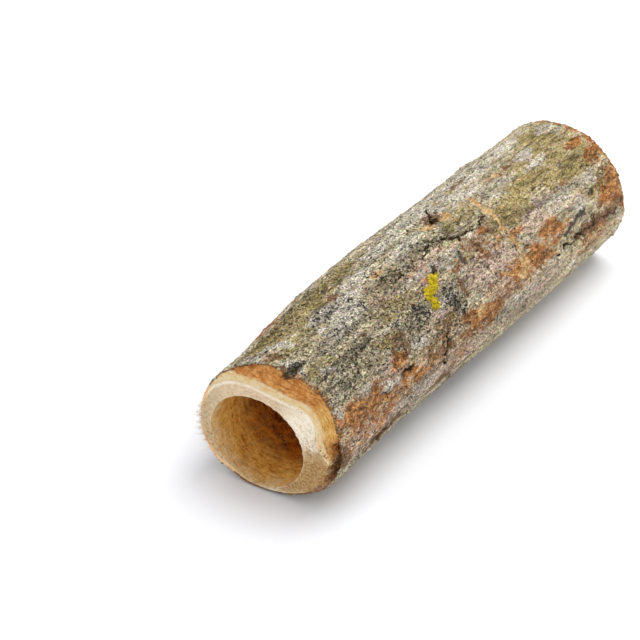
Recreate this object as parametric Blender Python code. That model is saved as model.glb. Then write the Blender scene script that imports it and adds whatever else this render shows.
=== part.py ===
"""A bored bark log: one length of round wood in its bark, sawn at both ends and drilled through.

Metres, +Z up. The log lies along Y with its thin-walled, wide-faced end at -Y. The origin is at
the middle of its bounding box in X and Y and at the lowest point of its underside in Z.
Angles around the log run from straight up (+Z) towards +X.
"""

import math
from dataclasses import dataclass

import bmesh
import bpy
from mathutils import Vector

MM = 0.001

# Driving dimensions of the log, about the straight axis that it grew around
LENGTH = 151.3 * MM  # along the axis, between the two saw cuts
BODY_RADIUS = 22.4 * MM  # mean radius over the bark, away from the swellings
BED_HEIGHT = -23.1 * MM  # the underside is worn level at this height, so the log lies still

# The drilled hole: straight, parallel to the axis, and off centre towards the thin wall
BORE_RADIUS = 15.0 * MM
BORE_X = -4.4 * MM
BORE_Z = -6.6 * MM

# Each saw cut is a plane. These are its rises along Y for each unit of X and of Z.
NEAR_CUT = (math.tan(math.radians(5.5)), math.tan(math.radians(0.8)))
FAR_CUT = (math.tan(math.radians(-0.2)), math.tan(math.radians(-2.0)))
ARRIS = 0.6 * MM  # the bark's edge is broken back by this much at both cuts

# How finely the bark surface is divided
SIDES = 72
STATIONS = 35
BORE_SIDES = 64


@dataclass(frozen=True)
class Lobe:
    """One wave of the outline around the log: its count, height and direction in degrees."""

    count: int
    height: float
    towards: float


@dataclass(frozen=True)
class Swelling:
    """A smooth rise of the bark, or a hollow where the height is negative."""

    along: float
    around: float
    height: float
    reach_along: float
    reach_around: float


# The cross-section at the near cut is drawn out towards the thin wall, and settles to the round
# body over this distance.
NEAR_OUTLINE = (
    Lobe(1, 0.94 * MM, -174.0),
    Lobe(2, 1.21 * MM, 56.0),
    Lobe(3, 0.40 * MM, -3.0),
    Lobe(4, 0.42 * MM, 36.0),
)
OUTLINE_REACH = 26.0 * MM

# The body keeps running over towards the thin wall, and is slightly wavy.
BODY_OUTLINE = (
    Lobe(1, 1.4 * MM, -145.0),
    Lobe(2, 0.25 * MM, 70.0),
    Lobe(5, 0.12 * MM, 20.0),
    Lobe(9, 0.08 * MM, 7.0),
)

SWELLINGS = (
    Swelling(60 * MM, -52, 1.5 * MM, 24 * MM, 34),  # long swell on the left shoulder
    Swelling(10 * MM, -50, -0.8 * MM, 11 * MM, 24),  # flattened left shoulder at the near end
    Swelling(34 * MM, 124, -0.6 * MM, 22 * MM, 32),  # slimmer stretch low on the right
    Swelling(120 * MM, -50, 0.9 * MM, 4 * MM, 11),  # healed branch stub
    Swelling(150 * MM, -52, -1.0 * MM, 22 * MM, 45),  # far end narrows on the left
    Swelling(126 * MM, 128, 1.0 * MM, 36 * MM, 38),  # far end fills out on the right
    Swelling(82 * MM, -8, 0.6 * MM, 9 * MM, 14),  # lips of the old wound on top
    Swelling(82 * MM, -9, -1.0 * MM, 3.5 * MM, 5),  # the wound itself
    Swelling(4 * MM, 15, -1.7 * MM, 4 * MM, 5),  # mossy notch at the near rim
    Swelling(5 * MM, 92, 0.8 * MM, 7 * MM, 9),  # lifted flap of bark at the near rim
    Swelling(134 * MM, 84, -1.1 * MM, 14 * MM, 7),  # long groove low on the right
    Swelling(56 * MM, -112, 0.7 * MM, 17 * MM, 18),  # swell on the hidden left flank
    Swelling(108 * MM, -96, -0.9 * MM, 14 * MM, 16),  # hollow on the hidden left flank
    Swelling(96 * MM, -147, 1.0 * MM, 90 * MM, 26),  # fullness over the thin wall
    Swelling(90 * MM, 160, 1.7 * MM, 60 * MM, 13),  # right-hand ridge that the log lies on
)


def wave(outline, angle):
    """Height of an outline's waves above the mean radius, at an angle in degrees."""
    return sum(
        lobe.height * math.cos(math.radians(lobe.count * (angle - lobe.towards))) for lobe in outline
    )


def rise(swelling, along, angle):
    """Height that one swelling adds to the bark at a place on it."""
    turn = (angle - swelling.around + 180) % 360 - 180
    gap = ((along - swelling.along) / swelling.reach_along) ** 2
    return swelling.height * math.exp(-gap / 2 - (turn / swelling.reach_around) ** 2 / 2)


def bark_radius(along, angle):
    """Distance from the axis to the bark."""
    fade = math.exp(-((along / OUTLINE_REACH) ** 2))
    radius = BODY_RADIUS + fade * wave(NEAR_OUTLINE, angle) + (1 - fade) * wave(BODY_OUTLINE, angle)
    return radius + sum(rise(swelling, along, angle) for swelling in SWELLINGS)


def bark_point(share, angle, inset=0.0):
    """Point of the bark at a share of the length, leaning with the nearer saw cut."""
    radius = bark_radius(share * LENGTH, angle) - inset
    x = radius * math.sin(math.radians(angle))
    z = max(radius * math.cos(math.radians(angle)), BED_HEIGHT + inset)
    near = NEAR_CUT[0] * x + NEAR_CUT[1] * z
    far = LENGTH + FAR_CUT[0] * x + FAR_CUT[1] * z
    return Vector((x, near + share * (far - near), z))


def ring(mesh, share, inset=0.0):
    """One closed loop of bark vertices around the log."""
    turns = (360 * side / SIDES for side in range(SIDES))
    return [mesh.verts.new(bark_point(share, turn, inset)) for turn in turns]


def bridge(mesh, first, second):
    """Quads between two loops, the second further along Y."""
    for side in range(SIDES):
        after = (side + 1) % SIDES
        mesh.faces.new((first[side], first[after], second[after], second[side]))


def log_mesh():
    """The undrilled log: bark between two flat saw cuts with broken edges."""
    mesh = bmesh.new()
    edge = ARRIS / LENGTH
    shares = [edge + (1 - 2 * edge) * step / (STATIONS - 1) for step in range(STATIONS)]
    near_cut = ring(mesh, 0.0, ARRIS)
    far_cut = ring(mesh, 1.0, ARRIS)
    loops = [near_cut, *(ring(mesh, share) for share in shares), far_cut]
    for first, second in zip(loops, loops[1:]):
        bridge(mesh, first, second)
    for cut in (mesh.faces.new(reversed(near_cut)), mesh.faces.new(far_cut)):
        cut.material_index = 1
    bmesh.ops.recalc_face_normals(mesh, faces=mesh.faces)
    return finished(mesh, "wood_log")


def bore_mesh():
    """The drill's path, longer than the log at both ends."""
    mesh = bmesh.new()
    bmesh.ops.create_cone(
        mesh,
        cap_ends=True,
        segments=BORE_SIDES,
        radius1=BORE_RADIUS,
        radius2=BORE_RADIUS,
        depth=LENGTH + 40 * MM,
    )
    bmesh.ops.rotate(mesh, verts=mesh.verts, matrix=turned_to_y())
    for face in mesh.faces:
        face.material_index = 1
    return finished(mesh, "bore_cutter")


def turned_to_y():
    """Rotation that lays a cylinder's own axis along Y."""
    return Vector((0, 0, 1)).rotation_difference(Vector((0, 1, 0))).to_matrix()


def finished(mesh, name):
    """A named Blender mesh, smooth except at the saw cuts' edges."""
    data = bpy.data.meshes.new(name)
    mesh.to_mesh(data)
    mesh.free()
    data.shade_smooth()
    data.set_sharp_from_angle(angle=math.radians(40))
    return data


def finish(name, colour, roughness):
    """A plain material in one colour."""
    material = bpy.data.materials.new(name)
    material.use_nodes = True
    shader = material.node_tree.nodes["Principled BSDF"]
    shader.inputs["Base Color"].default_value = (*colour, 1.0)
    shader.inputs["Roughness"].default_value = roughness
    shader.inputs["Metallic"].default_value = 0.0
    return material


def add(data, *materials):
    """An object for a mesh, with its materials, in the scene."""
    thing = bpy.data.objects.new(data.name, data)
    for material in materials:
        data.materials.append(material)
    bpy.context.scene.collection.objects.link(thing)
    return thing


def middle_of_base(data):
    """Point of a mesh's box that goes to the origin: the middle of its lowest side."""
    lows = [min(vertex.co[axis] for vertex in data.vertices) for axis in range(3)]
    highs = [max(vertex.co[axis] for vertex in data.vertices) for axis in range(3)]
    return Vector(((lows[0] + highs[0]) / 2, (lows[1] + highs[1]) / 2, lows[2]))


def drill(log, cutter):
    """Take the cutter's path out of the log."""
    cutter.parent = log
    cutter.hide_render = True
    cutter.display_type = "WIRE"
    hole = log.modifiers.new("bore", "BOOLEAN")
    hole.operation = "DIFFERENCE"
    hole.solver = "EXACT"
    hole.object = cutter


def main():
    """Build the log in an empty scene."""
    for thing in list(bpy.data.objects):
        bpy.data.objects.remove(thing, do_unlink=True)
    bark = finish("grey_bark", (0.30, 0.27, 0.20), 0.9)
    wood = finish("sawn_wood", (0.68, 0.56, 0.38), 0.75)
    log = add(log_mesh(), bark, wood)
    log.location = -middle_of_base(log.data)
    cutter = add(bore_mesh(), bark, wood)
    cutter.location = (BORE_X, LENGTH / 2, BORE_Z)
    drill(log, cutter)


main()
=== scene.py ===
"""Looks of a drilled log in its bark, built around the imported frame.

The log lies along Y with its thin-walled end at -Y and +Z up, in metres. Sizes named here are in
millimetres and are turned into metres where a mesh is made. A place on the bark is given by its
distance along the log from the near saw cut and by its angle around the axis, which runs in
degrees from straight up towards +X.
"""

import logging
import math
from collections.abc import Callable, Mapping, Sequence
from dataclasses import dataclass, field
from enum import Enum
from functools import cached_property, reduce
from typing import Any

import bmesh
import bpy
import numpy as np
from bmesh.types import BMesh
from bpy.types import Material, Mesh, Node, NodeTree, Object
from bpy.types import NodeSocket as Socket
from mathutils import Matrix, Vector


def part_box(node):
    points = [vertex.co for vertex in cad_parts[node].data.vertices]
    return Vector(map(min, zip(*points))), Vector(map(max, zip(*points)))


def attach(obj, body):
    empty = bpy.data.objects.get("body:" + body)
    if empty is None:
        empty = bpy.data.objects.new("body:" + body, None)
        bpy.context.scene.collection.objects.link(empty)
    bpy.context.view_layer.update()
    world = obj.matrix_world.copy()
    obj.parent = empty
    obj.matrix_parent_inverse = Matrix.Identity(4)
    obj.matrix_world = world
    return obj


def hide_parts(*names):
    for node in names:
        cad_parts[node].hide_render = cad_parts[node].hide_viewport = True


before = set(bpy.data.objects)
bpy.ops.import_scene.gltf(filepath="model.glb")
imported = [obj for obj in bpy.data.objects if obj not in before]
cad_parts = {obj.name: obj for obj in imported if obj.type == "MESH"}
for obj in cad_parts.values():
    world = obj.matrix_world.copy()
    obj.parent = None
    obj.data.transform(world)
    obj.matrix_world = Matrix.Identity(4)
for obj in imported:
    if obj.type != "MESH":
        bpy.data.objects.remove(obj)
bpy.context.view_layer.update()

MM = 0.001
NODE = "wood_log"
BODY = "root"
LOWEST = 0.00002  # metres above the floor, below which nothing goes
LOG = logging.getLogger("bored_log")

Colour = tuple[float, float, float, float]
Value = Any
Array = np.ndarray
Look = tuple[Value, Value]


def paint(red: float, green: float, blue: float) -> Colour:
    """Turn a display colour into the linear one that shaders take.

    Args:
        red: Red part, 0 to 255.
        green: Green part, 0 to 255.
        blue: Blue part, 0 to 255.

    Returns:
        Linear red, green and blue with full alpha.
    """
    shares = (part / 255 for part in (red, green, blue))
    linear = [share / 12.92 if share <= 0.04045 else ((share + 0.055) / 1.055) ** 2.4 for share in shares]
    return (linear[0], linear[1], linear[2], 1.0)


def eased(values: Array, low: float, high: float) -> Array:
    """Smooth step from 0 at low to 1 at high."""
    share = np.clip((values - low) / (high - low), 0.0, 1.0)
    return share * share * (3 - 2 * share)


class Sheet:
    """Writes one node tree: adds nodes, sets their inputs and joins them up."""

    def __init__(self, tree: NodeTree) -> None:
        """Start on an empty tree."""
        tree.nodes.clear()
        self.tree = tree

    def inlet(self, name: str, kind: str, default: Value = None) -> None:
        """Add a named input to the tree's interface.

        Args:
            name: The input's name.
            kind: Its socket type.
            default: Its value where nothing is joined.
        """
        socket = self.tree.interface.new_socket(name=name, in_out="INPUT", socket_type=kind)
        if default is not None:
            socket.default_value = default

    def outlet(self, name: str, kind: str) -> None:
        """Add a named output to the tree's interface."""
        self.tree.interface.new_socket(name=name, in_out="OUTPUT", socket_type=kind)

    def feed(self, socket: Socket, value: Value) -> None:
        """Join a socket to an input, or set the input's own value.

        Args:
            socket: The input.
            value: A socket to join to it, or a value.
        """
        if isinstance(value, Socket):
            self.tree.links.new(value, socket)
        else:
            socket.default_value = value

    def add(self, kind: str, feeds: Mapping[Any, Value] | None = None, **settings: Value) -> Node:
        """Add a node.

        Args:
            kind: Blender's type name of the node.
            feeds: Values or sockets for its inputs, by name or index.
            **settings: The node's own properties.

        Returns:
            The new node.
        """
        node = self.tree.nodes.new(kind)
        for name, value in settings.items():
            setattr(node, name, value)
        for key, value in (feeds or {}).items():
            self.feed(node.inputs[key], value)
        return node

    def math(self, operation: str, *values: Value) -> Socket:
        """One step of arithmetic on up to three values."""
        return self.add("ShaderNodeMath", dict(enumerate(values)), operation=operation).outputs[0]

    def sum(self, *values: Value) -> Socket:
        """Sum of any number of values."""
        return reduce(lambda total, value: self.math("ADD", total, value), values)

    def product(self, *values: Value) -> Socket:
        """Product of any number of values."""
        return reduce(lambda total, value: self.math("MULTIPLY", total, value), values)

    def minus(self, value: Value, less: Value) -> Socket:
        """Difference of two values."""
        return self.math("SUBTRACT", value, less)

    def line(self, value: Value, slope: Value, start: Value) -> Socket:
        """Value times a slope, plus a start."""
        return self.math("MULTIPLY_ADD", value, slope, start)

    def step(self, value: Value, low: Value, high: Value) -> Socket:
        """Smooth step of a value from 0 at low to 1 at high, or falling where low is the larger."""
        feeds = {0: value, 1: low, 2: high}
        return self.add("ShaderNodeMapRange", feeds, interpolation_type="SMOOTHSTEP").outputs[0]

    def blend(self, share: Value, first: Value, second: Value) -> Socket:
        """Colour between two others."""
        return self.add("ShaderNodeMix", {0: share, 6: first, 7: second}, data_type="RGBA").outputs[2]

    def tinted(self, colour: Value, by: Value) -> Socket:
        """Colour multiplied by another."""
        node = self.add("ShaderNodeMix", {0: 1.0, 6: colour, 7: by}, data_type="RGBA", blend_type="MULTIPLY")
        return node.outputs[2]

    def shade(self, colour: Value, factor: Value) -> Socket:
        """Colour made lighter or darker by a factor."""
        grey = self.add("ShaderNodeCombineColor", dict.fromkeys(range(3), factor)).outputs[0]
        return self.tinted(colour, grey)

    def noise(self, place: Value, detail: float = 2.0, rough: float = 0.55, warp: float = 0.0) -> Socket:
        """Cloudy pattern from 0 to 1 with features about one unit across."""
        feeds = {"Vector": place, "Scale": 1.0, "Detail": detail, "Roughness": rough, "Distortion": warp}
        return self.add("ShaderNodeTexNoise", feeds).outputs[0]

    def swing(self, place: Value, height: Value, *texture: float) -> Socket:
        """Cloudy pattern either side of zero, with the detail, roughness and warp of noise."""
        return self.product(self.minus(self.noise(place, *texture), 0.5), height)

    def cells(self, place: Value, feature: str = "F1") -> Node:
        """Cell pattern with cells about one unit across."""
        return self.add("ShaderNodeTexVoronoi", {"Vector": place, "Scale": 1.0}, feature=feature)

    def scaled(self, vector: Value, by: Value) -> Socket:
        """Vector multiplied part by part with another."""
        return self.add("ShaderNodeVectorMath", {0: vector, 1: by}, operation="MULTIPLY").outputs[0]

    def zoomed(self, vector: Value, by: Value) -> Socket:
        """Vector multiplied evenly by one value."""
        return self.add("ShaderNodeVectorMath", {0: vector, "Scale": by}, operation="SCALE").outputs[0]

    def moved(self, vector: Value, by: Value) -> Socket:
        """Sum of two vectors."""
        return self.add("ShaderNodeVectorMath", {0: vector, 1: by}, operation="ADD").outputs[0]

    def vector(self, x: Value, y: Value, z: Value) -> Socket:
        """Vector of three values."""
        return self.add("ShaderNodeCombineXYZ", {0: x, 1: y, 2: z}).outputs[0]

    def group(self, tree: NodeTree, **feeds: Value) -> Node:
        """Place a shader node group; an input's name is written with _ for its spaces.

        Args:
            tree: The node group.
            **feeds: Values or sockets for its inputs.

        Returns:
            The placed group.
        """
        node = self.add("ShaderNodeGroup", node_tree=tree)
        for name, value in feeds.items():
            self.feed(node.inputs[name.replace("_", " ")], value)
        return node

    def painted(self, name: str) -> Socket:
        """Value that a mesh attribute holds."""
        return self.add("ShaderNodeAttribute", attribute_name=name).outputs["Fac"]


FLOAT, COLOUR, VECTOR = "NodeSocketFloat", "NodeSocketColor", "NodeSocketVector"


class Effects:
    """Surface effects that several finishes share, each a node group built once, at first use."""

    @staticmethod
    def _start(name: str, *outlets: str, **inlets: Value) -> tuple[Sheet, Any, Any]:
        """Begin a group; an input's name is written with _ for its spaces.

        Args:
            name: The group's name.
            *outlets: Names of its outputs.
            **inlets: Value that each input starts from, or None for a vector.

        Returns:
            The sheet, the group's inputs and the group's outputs.
        """
        sheet = Sheet(bpy.data.node_groups.new(name, "ShaderNodeTree"))
        kinds = {type(None): VECTOR, float: FLOAT, tuple: COLOUR}
        for inlet, value in inlets.items():
            sheet.inlet(inlet.replace("_", " "), kinds[type(value)], value)
        for outlet in outlets:
            sheet.outlet(outlet, {"Vector": VECTOR, "Color": COLOUR}.get(outlet, FLOAT))
        return sheet, sheet.add("NodeGroupInput").outputs, sheet.add("NodeGroupOutput").inputs

    @cached_property
    def place(self) -> NodeTree:
        """Pattern coordinates in features per millimetre, drawn out along the log."""
        sheet, given, result = self._start("grain_place", "Vector", Across=1.0, Along=0.5, Offset=0.0)
        place = sheet.zoomed(sheet.add("ShaderNodeTexCoord").outputs["Object"], 1 / MM)
        stretch = sheet.vector(given["Across"], given["Along"], given["Across"])
        shift = sheet.vector(*(given["Offset"],) * 3)
        sheet.feed(result["Vector"], sheet.moved(sheet.scaled(place, stretch), shift))
        return sheet.tree

    @cached_property
    def mottle(self) -> NodeTree:
        """Three tones run into one another in a coarse and a fine pattern."""
        sheet, given, result = self._start(
            "mottle", "Color", Vector=None, Dark=paint(90, 80, 60), Middle=paint(150, 140, 115),
            Pale=paint(200, 192, 168), Fine_Share=0.5, Contrast=1.0,
        )
        coarse = sheet.noise(given["Vector"], 3.0, 0.6, 0.4)
        fine = sheet.noise(sheet.zoomed(given["Vector"], 4.7), 3.0, 0.7)
        mixed = sheet.sum(
            sheet.product(coarse, sheet.minus(1.0, given["Fine Share"])),
            sheet.product(fine, given["Fine Share"]),
        )
        tone = sheet.line(sheet.minus(mixed, 0.5), sheet.product(given["Contrast"], 2.4), 0.5)
        low = sheet.blend(sheet.step(tone, 0.05, 0.5), given["Dark"], given["Middle"])
        sheet.feed(result["Color"], sheet.blend(sheet.step(tone, 0.5, 0.95), low, given["Pale"]))
        return sheet.tree

    @cached_property
    def cover(self) -> NodeTree:
        """How much of the surface a painted layer covers, broken up coarsely and finely."""
        sheet, given, result = self._start(
            "cover", "Mask", Vector=None, Mask=0.0, Everywhere=0.0, Coarse_Break=1.4, Fine_Break=1.4,
            Softness=0.1,
        )
        coarse = sheet.minus(sheet.noise(given["Vector"], 3.0, 0.6, 0.5), 0.5)
        fine = sheet.noise(sheet.zoomed(given["Vector"], 4.3), 3.0, 0.7)
        value = sheet.sum(
            given["Mask"],
            given["Everywhere"],
            sheet.product(coarse, given["Coarse Break"]),
            sheet.product(sheet.minus(fine, 0.5), given["Fine Break"]),
        )
        low = sheet.minus(0.5, given["Softness"])
        sheet.feed(result["Mask"], sheet.step(value, low, sheet.math("ADD", 0.5, given["Softness"])))
        return sheet.tree

    @cached_property
    def flecks(self) -> NodeTree:
        """Scaly salt and pepper: a brightness factor, pits between the scales and a height in mm."""
        sheet, given, result = self._start(
            "flecks", "Factor", "Pits", "Height", Vector=None, Dark_Factor=0.62, Pale_Factor=1.32,
            Pit_Level=0.39,
        )
        grit = sheet.noise(given["Vector"], 3.0, 0.72, 0.2)
        body = sheet.step(grit, 0.36, 0.64)
        spread = sheet.minus(given["Pale Factor"], given["Dark Factor"])
        sheet.feed(result["Factor"], sheet.line(body, spread, given["Dark Factor"]))
        apart = sheet.moved(sheet.zoomed(given["Vector"], 0.62), (31.0, 17.0, 5.0))
        holes = sheet.noise(apart, 3.0, 0.6, 0.6)
        pits = sheet.step(holes, given["Pit Level"], sheet.minus(given["Pit Level"], 0.07))
        sheet.feed(result["Pits"], pits)
        sheet.feed(result["Height"], sheet.line(pits, -0.22, sheet.product(body, 0.16)))
        return sheet.tree

    @cached_property
    def furrows(self) -> NodeTree:
        """Thin wandering cracks, drawn out along the log."""
        sheet, given, result = self._start("furrows", "Mask", Vector=None, Width=0.06)
        feeds = {"Vector": given["Vector"], "Scale": 1.4, "Detail": 3.0}
        warp = sheet.add("ShaderNodeTexNoise", feeds).outputs[1]
        place = sheet.moved(given["Vector"], sheet.zoomed(warp, 0.9))
        near = sheet.cells(place, "DISTANCE_TO_EDGE").outputs["Distance"]
        broken = sheet.step(sheet.noise(sheet.zoomed(given["Vector"], 1.3), 3.0), 0.42, 0.56)
        sheet.feed(result["Mask"], sheet.product(sheet.step(near, given["Width"], 0.0), broken))
        return sheet.tree

    @cached_property
    def veins(self) -> NodeTree:
        """Hair-thin broken lines that wind in every direction."""
        sheet, given, result = self._start("veins", "Mask", Vector=None, Width=0.02)
        height = sheet.noise(given["Vector"], 4.0, 0.62, 0.8)
        near = sheet.math("ABSOLUTE", sheet.minus(height, 0.5))
        apart = sheet.zoomed(given["Vector"], 2.1)
        broken = sheet.step(sheet.noise(apart, 2.0), 0.45, 0.55)
        sheet.feed(result["Mask"], sheet.product(sheet.step(near, given["Width"], 0.0), broken))
        return sheet.tree

    @cached_property
    def speckle(self) -> NodeTree:
        """Scattered specks of mixed sizes; Density is the share of cells that hold one."""
        sheet, given, result = self._start("speckle", "Mask", Vector=None, Density=0.3, Size=0.35)
        cell = sheet.cells(given["Vector"])
        draws = sheet.add("ShaderNodeSeparateColor", {0: cell.outputs["Color"]}).outputs
        present = sheet.math("LESS_THAN", draws[0], given["Density"])
        reach = sheet.product(given["Size"], sheet.line(draws[1], 0.9, 0.4))
        dot = sheet.step(cell.outputs["Distance"], reach, sheet.product(reach, 0.5))
        sheet.feed(result["Mask"], sheet.product(dot, present))
        return sheet.tree

    @cached_property
    def tooth(self) -> NodeTree:
        """Fine unevenness of a surface as a height in millimetres."""
        sheet, given, result = self._start("fine_tooth", "Height", Vector=None, Coarse=0.1, Fine=0.05)
        coarse = sheet.product(sheet.noise(given["Vector"], 3.0, 0.6), given["Coarse"])
        fine = sheet.noise(sheet.zoomed(given["Vector"], 3.9), 2.0, 0.6)
        sheet.feed(result["Height"], sheet.sum(coarse, sheet.product(fine, given["Fine"])))
        return sheet.tree


class Mask(Enum):
    """What an area painted on the log is; the value is its attribute's name."""

    CRUST = "pale_crust"
    RUST = "rust"
    LILAC = "lilac_grey"
    OLIVE = "olive_dust"
    SPECKLE = "dark_speckle"
    SOOT = "black_patch"
    # In the hole this mask holds painted shade; on the bark and sawn face it marks brown scars.
    BROWN = "brown_scar"
    GOLD = "torn_wood"
    CLEFT = "cleft"
    LICHEN = "yellow_lichen"
    MOSS = "moss"
    FRUIT = "black_fruit"
    SCALE = "loose_scale"
    FUZZ = "rim_fuzz"
    CREAM = "cream_wood"
    DRAB = "drab_wood"
    DUST = "saw_dust"
    SPLINTER = "splinters"


ARC = 0.393  # millimetres of bark for each degree around the log


def turned(around: Array, towards: float) -> Array:
    """Angle from one direction to others, the short way round, in degrees."""
    return (around - towards + 180) % 360 - 180


def facing(around: Array, towards: float, reach: float, power: int = 2) -> Array:
    """Share that is 1 in one direction and dies away over a reach in degrees either side."""
    return np.exp(-((turned(around, towards) / reach) ** power))


# How painted outlines wander: the length and height in mm of each ripple, and its turn
RIPPLES = ((9.1, 0.50, 0.4), (5.3, 0.42, 1.9), (3.1, 0.30, 3.3), (1.9, 0.20, 5.0), (1.3, 0.14, 0.9))


def wavering(along: Array, around: Array) -> tuple[Array, Array]:
    """Places moved a little to and fro, which gives everything painted a wandering outline.

    Args:
        along: Distances in mm.
        around: Angles around it, in degrees.

    Returns:
        The moved distances and angles.
    """
    arc = around * ARC
    ahead, aside = np.zeros_like(along), np.zeros_like(along)
    for length, height, turn in RIPPLES:
        rate = math.tau / length
        ahead += height * np.sin(rate * (0.83 * arc + 0.55 * along) + turn)
        aside += height * np.sin(rate * (0.91 * along - 0.42 * arc) + 2.3 * turn)
    return along + ahead, around + 0.8 * aside / ARC


@dataclass(frozen=True)
class Patch:
    """A soft oval area: where it is, its half length and half width in mm, and its strength."""

    mask: Mask
    along: float
    around: float
    length: float
    width: float
    strength: float = 1.0
    lean: float = 0.0

    def spread(self, along: Array, around: Array) -> Array:
        """Strength of the patch at places on the bark.

        Args:
            along: Distances in mm.
            around: Angles in degrees.

        Returns:
            The strengths.
        """
        ahead = along - self.along
        aside = turned(around, self.around) * ARC
        cosine, sine = math.cos(math.radians(self.lean)), math.sin(math.radians(self.lean))
        lengthwise = (ahead * cosine + aside * sine) / self.length
        crosswise = (aside * cosine - ahead * sine) / self.width
        gap = np.hypot(lengthwise, crosswise)
        return self.strength * (1 - eased(gap, 0.35, 1.65))


@dataclass(frozen=True)
class Stroke:
    """A line of some width in mm through places on the bark, each its along and around."""

    mask: Mask
    places: tuple[tuple[float, float], ...]
    width: float
    strength: float = 1.0

    def spread(self, along: Array, around: Array) -> Array:
        """Strength of the stroke at places on the bark.

        Args:
            along: Distances in mm.
            around: Angles in degrees.

        Returns:
            The strengths.
        """
        nearest = np.full(along.shape, np.inf)
        for (y0, a0), (y1, a1) in zip(self.places, self.places[1:]):
            run = np.array((y1 - y0, (a1 - a0) * ARC))
            ahead, aside = along - y0, turned(around, a0) * ARC
            share = np.clip((ahead * run[0] + aside * run[1]) / max(float(run @ run), 1e-9), 0, 1)
            nearest = np.minimum(nearest, np.hypot(ahead - share * run[0], aside - share * run[1]))
        return self.strength * (1 - eased(nearest / self.width, 0.25, 1.1))


def patches(mask: Mask, *sizes: tuple[float, ...]) -> list[Patch]:
    """Several patches of one kind: along, around, length, width, strength and lean of each."""
    return [Patch(mask, *size) for size in sizes]


def strokes(mask: Mask, *lines: tuple) -> list[Stroke]:
    """Several strokes of one kind: places, width and strength of each."""
    return [Stroke(mask, *line) for line in lines]


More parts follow.
